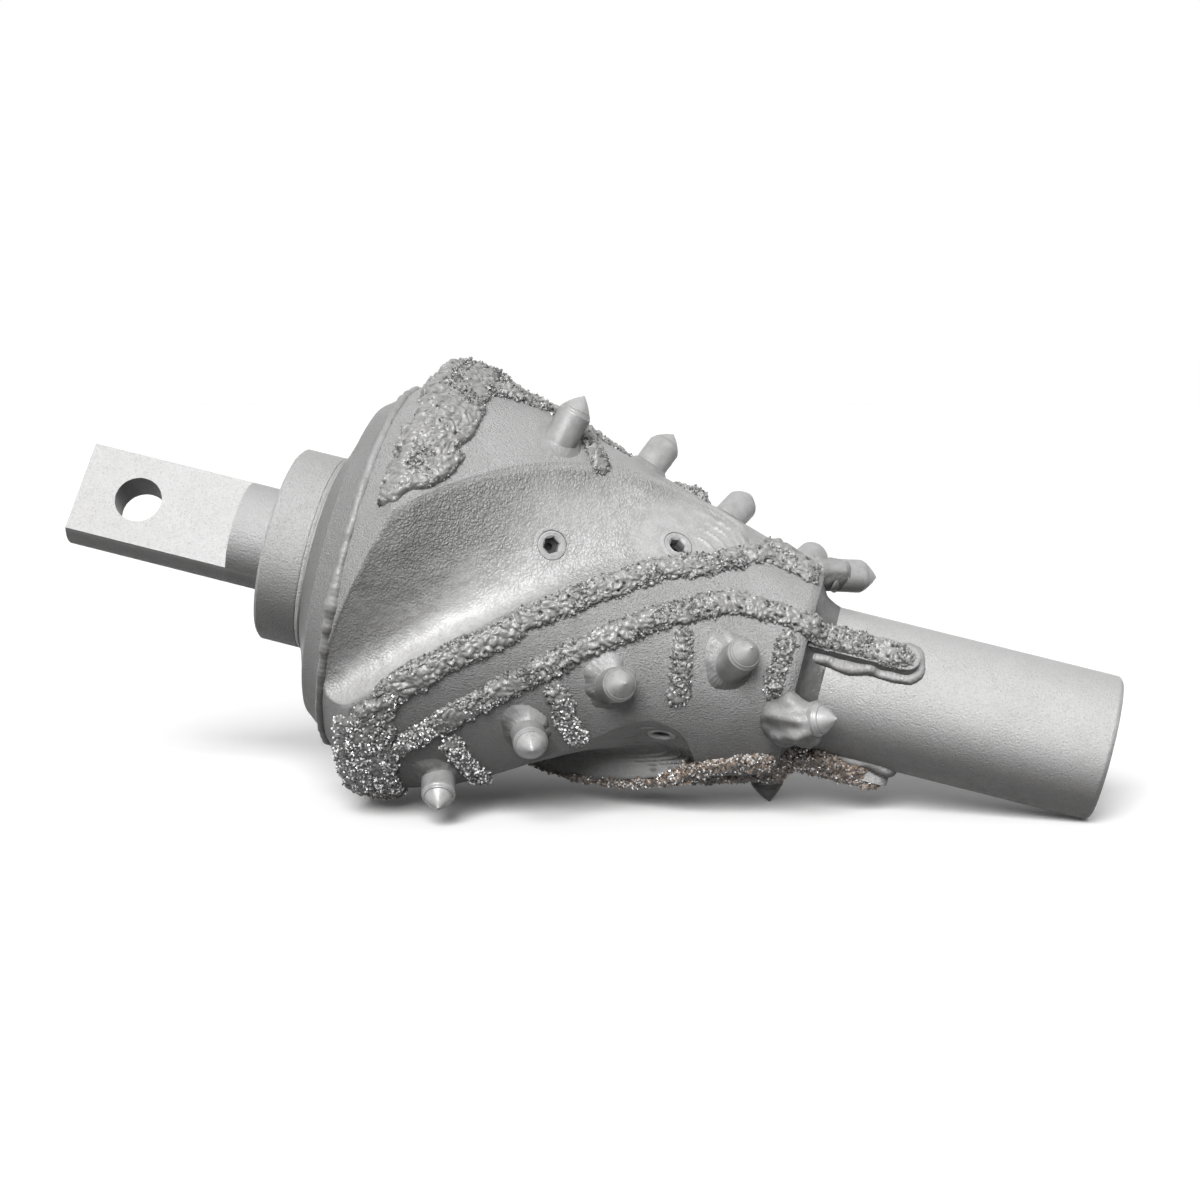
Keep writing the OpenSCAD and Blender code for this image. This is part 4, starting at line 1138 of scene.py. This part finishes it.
def makeBody():
    # the grid of the outside, a straight wall and a bottom in each jet's hole, and rings of points
    # for the bore and for the cavity that holds the swivel housing
    c = cutter
    p, inFlute, shade, dim, border = bodySurface()
    rows, cols = p.shape[:2]
    points = p.reshape(-1, 3)
    ringMark = np.zeros(len(points))
    faces, walls = cutJetHoles(points, gridFaces(rows, cols), ringMark)
    for i in range(5):
        for w in range(3):
            origin, axis = bitFrame(w, i)[:2]
            d, along = offAxis(points, origin, axis)
            ringMark += np.where(np.abs(along) < 14, np.exp(-(d - bitRing) ** 2) * 0.55, 0)
    extra, more = [points], faces.tolist()
    start = len(points)
    for order, origin, axis, surface in walls:
        k = len(order)
        top = points[order]
        along = (top - origin) @ axis
        low = top - axis * (along - surface + jetHole["depth"])[:, None]
        extra += [low, (origin + axis * (surface - jetHole["depth"]))[None, :]]
        la, lb = start + np.arange(k), start + (np.arange(k) + 1) % k
        more += np.stack([order, np.roll(order, -1), lb, la], 1).tolist()
        more += [[i, j, start + k] for i, j in zip(la, lb)]
        start += k + 1
    bore = c["stemR"] + 0.3
    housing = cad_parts["swivel_housing"].data
    cavityEnd = max(v.co.x for v in housing.vertices) / mm + 0.5
    points = np.concatenate(extra)
    last = (rows - 1) * cols + np.arange(cols)
    frontAngle, rearAngle = angleOf(points[last]), angleOf(points[:cols])
    rings = [(c["noseX"], bore, frontAngle), (cavityEnd, bore, rearAngle),
             (cavityEnd, plate["boreR"], rearAngle), (c["plateX"], plate["boreR"], rearAngle)]
    loops = [last] + [len(points) + k * cols + np.arange(cols) for k in range(4)]
    loops.append(np.arange(cols))
    inside = [at(np.full(cols, x), np.full(cols, r), a) for x, r, a in rings]
    points = np.concatenate([points] + inside)
    for one, two in zip(loops, loops[1:]):
        more += np.stack([one, np.roll(one, -1), np.roll(two, -1), two], 1).tolist()
    values = {"flute": inFlute, "ring": ringMark, "shade": shade, "dim": dim, "border": border}
    rest = np.zeros(len(points) - rows * cols)
    values = {key: np.concatenate([value.ravel(), rest]) for key, value in values.items()}
    creases = values.pop("border") > 0
    piece("cutterBody", (points, [face[::-1] for face in more]), cutterPaint,
          nodes=["cutter_body"], sharp=17, values=values, creases=creases)


# Fluid jets

jetSizes = {"r": 8.1, "length": 12.0, "hexR": 4.1, "hexDepth": 6.6, "portR": 2.0, "around": 96}


def makeJets():
    # rings of points down the outside, over the face and into the socket; a radius of 0 in the
    # profile stands for the socket's hexagon
    s = jetSizes
    t = np.linspace(0, 2 * np.pi, s["around"], endpoint=False)
    hexagon = s["hexR"] / np.cos(np.mod(t, np.pi / 3) - np.pi / 6)
    profile = [(-s["length"], s["r"]), (-0.5, s["r"]), (-0.15, s["r"] - 0.15),
               (0, s["r"] - 0.5), (0, 6.6), (-0.12, 6.45), (-0.12, 6.2), (0, 6.05), (0, 5.5),
               (-0.2, 5.2), (-1.3, 0), (-2.4, 0), (-s["hexDepth"], 0),
               (-s["hexDepth"] - 0.1, s["portR"]), (1 - s["length"], s["portR"])]
    # how far down each ring of the profile lies, for the socket's painted shade
    deep = np.repeat([1.0, 1.0] + [0.0] * 8 + [0.0, 0.35, 0.9, 1.0, 1.0], s["around"])
    for k, place in enumerate(jetPlaces):
        origin, axis, surface = jetAxis(place)
        side = unit(np.cross(axis, [1.0, 0, 0]))
        ring = circle(side, np.cross(axis, side), s["around"])
        six = hexagon[:, None] * ring
        rows = np.array([origin + axis * (surface + z) + (r * ring if r else six)
                         for z, r in profile])
        piece(f"fluidJet{k + 1}", tube(rows), jetSteel, nodes=[f"jet_{k + 1}"],
              sharp=30, values={"deep": deep})


# Turned pieces: profiles of [station, radius] round the tool axis

toolAxis = np.array([1.0, 0, 0])
toolSide = np.array([0, -1.0, 0])
toolUp = np.array([0, 0, 1.0])
turnedSteps = 160


def turned(profile, around=turnedSteps):
    return revolve(np.zeros(3), toolAxis, toolSide, toolUp, profile, around)


def ringSolid(profile):
    return looped(turned(profile))


stem = {
    "r": 41.25, "chamfer": 2.5, "boreR": 14.0, "counterR": 34.15, "counter": 16.0, "mouthR": 33.15,
    "taperLength": 76.0, "taper": 0.25, "pitch": 6.35, "threadDepth": 1.5, "hiddenX": -180.0,
}


def makeStem():
    # one profile turned round the tool axis: the outside, the face, the counterbore, the tapered
    # thread and the fluid bore; the thread is a clipped triangle wave of the station less a pitch
    # for each turn, and fades at both ends
    s = stem
    outside = [[s["hiddenX"], s["r"]]]
    outside += [[x, s["r"]] for x in np.linspace(-176, -s["chamfer"] - 0.4, 60)]
    outside += arc(-s["chamfer"], s["r"] - 0.05, -0.2, s["r"] - s["chamfer"] + 0.15, 0.2, 5)
    face = [[0, s["r"] - s["chamfer"] - 0.3], [0, 37.5], [0, s["counterR"] + 0.6],
            [-0.5, s["counterR"] + 0.05]]
    well = [[-1.5, s["counterR"]], [-s["counter"] + 0.4, s["counterR"]],
            [-s["counter"], s["counterR"] - 0.4]]
    x = np.arange(-s["counter"] - 0.3, -s["counter"] - s["taperLength"], -0.45)
    thread = np.stack([x, s["mouthR"] + (x + s["counter"]) * s["taper"] / 2], 1)
    end = x[-1]
    bore = [[end - 1, s["boreR"] + 5], [end - 6, s["boreR"]], [s["hiddenX"], s["boreR"]]]
    profile = np.concatenate([outside, face, well, thread, bore])
    rows = turned(profile)
    first = len(outside) + len(face) + len(well)
    t = np.linspace(0, 1, turnedSteps, endpoint=False)
    phase = x[:, None] / s["pitch"] - t[None, :]
    wave = np.clip(np.abs(np.mod(phase, 1) - 0.5) * 4 - 1, -0.75, 0.75)
    fade = ramp((-x - s["counter"]) / 4)[:, None] * ramp((x - end) / 6)[:, None]
    block = rows[first:first + len(x)]
    radial = unit(block * [0, 1, 1])
    rows[first:first + len(x)] = block + radial * (wave * fade * s["threadDepth"] * 0.7)[..., None]
    piece("drillStem", looped(rows), stemPaint, nodes=["drill_stem"], sharp=30)


ribSeam = {"half": 8.4, "wide": 8.0, "high": 3.8, "start": 3.0, "straight": 54.5}


def makeRibSeam(w):
    # a weld run along one side of the tail rib, round its end and back along the other
    s = ribSeam
    t = np.linspace(0, 1, 60)
    bend = np.pi * (0.5 - np.linspace(0, 1, 40))
    straight = (s["straight"] - s["start"]) * t
    x = np.concatenate([s["start"] + straight, s["straight"] + s["half"] * np.cos(bend),
                        s["straight"] - straight])
    y = np.concatenate([s["half"] + 0 * t, s["half"] * np.sin(bend), -s["half"] + 0 * t])
    a = ridge(cutter["noseX"]) + w * wingStep + np.degrees(y / cutter["stemR"])
    path = at(cutter["noseX"] + x, cutter["stemR"] - 0.2 + 0 * x, a)
    points, normals = resample(path, spin(a), 3.0)
    run = sweep(points, normals, s["wide"], s["high"], np.full(len(points), 1e6), 60 + w,
                rough=False)
    piece(f"ribSeam{wingNames[w].upper()}", run[0], weld, sharp=180)


plate = {
    "boreR": 56.15, "rimR": 103.0, "rimX": -425.0, "edgeX": -440.0, "edgeR": 91.0,
    "hubX": -453.0, "hubR": 57.1,
}


def makePlate():
    # a bulged slope from the rim to the edge, the rounded edge, a bulged face to the hub, the bore
    s = plate
    dome = ([[s["rimX"], s["rimR"] - 0.2]]
            + arc(s["rimX"] - 0.6, s["rimR"] - 0.5, s["edgeX"] + 0.8, s["edgeR"] + 0.7, 0.25, 8)
            + arc(s["edgeX"], s["edgeR"], s["edgeX"] - 0.9, s["edgeR"] - 2.2, 0.15, 4)
            + arc(s["edgeX"] - 1.2, s["edgeR"] - 3.2, s["hubX"], s["hubR"], 0.5, 22))
    profile = dome + [[s["hubX"], s["boreR"]], [s["rimX"], s["boreR"]]]
    piece("backPlate", ringSolid(profile), shadedPlatePaint, nodes=["back_plate"], sharp=28)


seamSkin = {  # ripples' height and bend, lumps, height and radius of the blob, points around
    "ripple": 0.09, "chevron": 2.2, "lumpSize": 6.0, "tack": 2.8, "tackR": 4.5, "around": 14,
}
ringSeams = {  # core's radius and station, thickness, ripples, lumps, angle of the blob at the stop
    "rimSeam": {"node": "rim_weld", "r": 102.8, "x": -425.6, "size": 2.6, "ripple": 3.1,
                "lump": 0.9, "tack": -5.0},
    "hubSeam": {"node": "hub_weld", "r": 56.7, "x": -453.3, "size": 1.0, "ripple": 2.3,
                "lump": 0.15, "tack": None},
}


def makeRingSeam(name):
    # a circle carried round the tool, lifted outwards by a sine of the run's length bent into
    # chevrons, by noise, and by a bell curve where the weld stopped
    s, skin = ringSeams[name], seamSkin
    around = int(2 * math.pi * s["r"] / 0.9)
    t = np.linspace(0, 2 * np.pi, around, endpoint=False)
    q = np.linspace(0, 2 * np.pi, skin["around"], endpoint=False)
    base = turned([[s["x"] + s["size"] * math.sin(k), s["r"] + s["size"] * math.cos(k)] for k in q],
                  around)
    phase = 2 * np.pi * (t * s["r"])[None, :] / s["ripple"]
    wave = np.sin(phase + skin["chevron"] * np.abs(np.sin(q))[:, None])
    out = unit(base - turned([[s["x"], s["r"]]], around))
    lumps = (cloud(base, skin["lumpSize"], 31) - 0.5) * 2 * s["lump"]
    if s["tack"]:
        stop = at(np.array(s["x"]), s["r"], np.array(s["tack"]))
        far = np.linalg.norm((base - stop) / [1, 1, 2.2], axis=-1)
        lumps = lumps + skin["tack"] * np.exp(-(far / skin["tackR"]) ** 2)
    rows = base + out * (wave * skin["ripple"] + lumps)[..., None]
    piece(name, looped(rows), weld, nodes=[s["node"]], sharp=60)


noseSeam = {"top": 56.2, "foot": 41.3, "reach": 13.0, "hollow": -4.0, "lump": 1.2}


def makeNoseSeam():
    # a hollow fillet that runs from the rim of the nose down to the stem, lumpy along its length
    s = noseSeam
    x0 = cutter["noseX"]
    hollow = arc(x0 - 0.4, s["top"], x0 + s["reach"], s["foot"], s["hollow"], 16)
    back = [[x0 - 1.0, s["foot"] - 0.3], [x0 - 1.0, s["top"] - 0.4]]
    rows = turned(back + hollow + [[x0 + s["reach"] + 0.1, s["foot"] - 0.3]], 300)
    lumps = (cloud(rows, 8.0, 33) - 0.5) * 2 * s["lump"] + (cloud(rows, 3.0, 34) - 0.5) * 0.4
    fade = np.zeros(len(rows))
    fade[2:-1] = np.sin(np.linspace(0, np.pi, len(rows) - 3)) ** 0.5
    rows = rows + unit(rows * [0, 1, 1] + [20.0, 0, 0]) * (lumps * fade[:, None])[..., None]
    piece("noseSeam", looped(rows), shadedNoseWeld, nodes=["nose_weld"], sharp=60)


cap = {"endX": -480.5, "x": -456.1, "r": 56.0, "boreR": 30.05, "chamfer": 1.5}


def makeCap():
    # the spigot's end, the round outside, the rounded corner and the flat end face
    s = cap
    cornerX, cornerR = s["endX"] + s["chamfer"], s["r"] - s["chamfer"]
    profile = ([[s["x"], s["boreR"]], [s["x"], s["r"] - 0.5], [s["x"] - 0.5, s["r"]]]
               + [[x, s["r"]] for x in np.linspace(s["x"] - 2, cornerX + 0.3, 8)]
               + arc(cornerX, s["r"] - 0.05, s["endX"] + 0.1, cornerR, 0.25, 6)
               + [[s["endX"], r] for r in np.linspace(cornerR - 0.3, s["boreR"] + 1.2, 12)]
               + [[s["endX"] + 0.9, s["boreR"] + 0.1]])
    piece("endCap", ringSolid(profile), capPaint, nodes=["end_cap"], sharp=30)


# Floor, lights and camera

def makeCamera():
    s = shot
    place = np.array(s["target"]) + back * s["distance"] + across * s["across"] + above * s["above"]
    data = bpy.data.cameras.new("camera")
    data.sensor_width = s["sensor"]
    data.lens = s["sensor"] * s["focal"] / s["width"]
    data.clip_start, data.clip_end = 0.01, 50
    obj = placed("camera", data)
    m = np.eye(4)
    m[:3, 0], m[:3, 1], m[:3, 2], m[:3, 3] = across, above, back, place * mm
    obj.matrix_world = Matrix(m.tolist())
    bpy.context.scene.camera = obj


def seenGraph(g, shown, lit):
    # one colour for the camera and reflections, another for the light that bounces
    path = g.tree.nodes.new("ShaderNodeLightPath")
    seen = (Wire(g, path.outputs["Is Camera Ray"]) + Wire(g, path.outputs["Is Glossy Ray"])
            + Wire(g, path.outputs["Is Transmission Ray"]))
    return g.blend(g.clip(seen, 0, 1), lit, shown)


floorSizes = {"r": 6.0, "middle": -0.3, "around": 128, "shown": 1.0, "lit": 0.04, "glow": 0.04}


def makeFloor():
    # a disc square to the floor's direction, through the lowest point of the object, see-through
    # from below
    s = floorSizes
    low = floorLow * mm
    side = unit(np.cross(floorUp, toolAxis))
    ahead = np.cross(side, floorUp)
    centre = np.array([s["middle"], 0, 0])
    centre = centre - floorUp * (centre @ floorUp - low)
    points = centre + s["r"] * circle(side, ahead, s["around"])
    mesh = bpy.data.meshes.new("floor")
    faces = [list(range(s["around"]))]
    normal = np.cross(points[1] - points[0], points[2] - points[1])
    if normal @ floorUp < 0:
        faces = [faces[0][::-1]]
    mesh.from_pydata(points.tolist(), [], faces)
    obj = placed("floor", mesh)
    g = Graph("paleFloor")
    g.finish(color=seenGraph(g, grey(s["shown"]), grey(s["lit"])), rough=0.9, specular=0.0,
             glow=seenGraph(g, grey(s["glow"]), grey(0.0)), glowLevel=1.0)
    clear = g.tree.nodes.new("ShaderNodeBsdfTransparent")
    mix = g.tree.nodes.new("ShaderNodeMixShader")
    behind = g.tree.nodes.new("ShaderNodeNewGeometry")
    g.tree.links.new(behind.outputs["Backfacing"], mix.inputs[0])
    g.tree.links.new(g.shader.outputs[0], mix.inputs[1])
    g.tree.links.new(clear.outputs[0], mix.inputs[2])
    g.tree.links.new(mix.outputs[0], g.tree.nodes["Material Output"].inputs["Surface"])
    mesh.materials.append(g.material)


# each lamp's direction in the view's own right, up and towards the viewer, its softness in
# degrees and its strength
lamps = [
    {"name": "keyLight", "way": (-0.14, 0.44, 0.89), "angle": 30, "power": 4.9},
    {"name": "topLight", "way": (0.05, 1.0, 0.1), "angle": 130, "power": 0.68},
]
worldLevel = 0.04


def makeLights():
    # two suns, and a world that is white where it is seen and weak where it lights
    for lamp in lamps:
        way = unit(np.array(lamp["way"]) @ np.stack([across, floorUp, back]))
        data = bpy.data.lights.new(lamp["name"], "SUN")
        data.angle = math.radians(lamp["angle"])
        data.energy = lamp["power"]
        obj = placed(lamp["name"], data)
        obj.location = way * 2
        obj.rotation_euler = Vector(way.tolist()).to_track_quat("Z", "Y").to_euler()
    world = bpy.data.worlds.new("studio")
    bpy.context.scene.world = world
    world.use_nodes = True
    tree = world.node_tree
    path = tree.nodes.new("ShaderNodeLightPath")
    level = worldLevel
    for ray in ("Is Camera Ray", "Is Glossy Ray", "Is Transmission Ray"):
        larger = tree.nodes.new("ShaderNodeMath")
        larger.operation = "MAXIMUM"
        tree.links.new(path.outputs[ray], larger.inputs[0])
        if isinstance(level, float):
            larger.inputs[1].default_value = level
        else:
            tree.links.new(level, larger.inputs[1])
        level = larger.outputs[0]
    sky = tree.nodes["Background"]
    sky.inputs["Color"].default_value = (1, 1, 1, 1)
    tree.links.new(level, sky.inputs["Strength"])


# Build

makeBody()
print("cutter body done")
for w in range(3):
    makeHardfacing(w)
    makeCollars(w)
    makeBits(w)
print("wings done")
makeStem()
makePlate()
makeCap()
for name in ringSeams:
    makeRingSeam(name)
makeNoseSeam()
for w in range(3):
    makeRibSeam(w)
    softened(f"tailRib{wingNames[w].upper()}", f"tail_rib_{wingNames[w]}", paint, 1.2)
softened("swivelSpindle", "swivel_spindle", tangPaint, 0.8, body="swivel")
makeJets()

inner = {  # pieces that keep the part's own mesh, and their finishes
    "swivel_housing": paint, "grease_plug": plainSteel, "cup_spacer": plainSteel,
    "cone_spacer": plainSteel, "lock_washer": plainSteel, "spindle_nut": plainSteel,
    "nut_pin": plainSteel, "cap_o_ring": seal, "shaft_seal": seal, "rear_cage": brass,
    "front_cage": brass,
}
for key in ("cup", "cone", "rollers"):
    inner["rear_" + key] = inner["front_" + key] = bearingSteel
for key, material in inner.items():
    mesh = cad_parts[key].data
    mesh.materials.clear()
    mesh.materials.append(material)
print("other pieces done")

makeCamera()
makeFloor()
makeLights()
bpy.context.scene.view_settings.view_transform = "Standard"
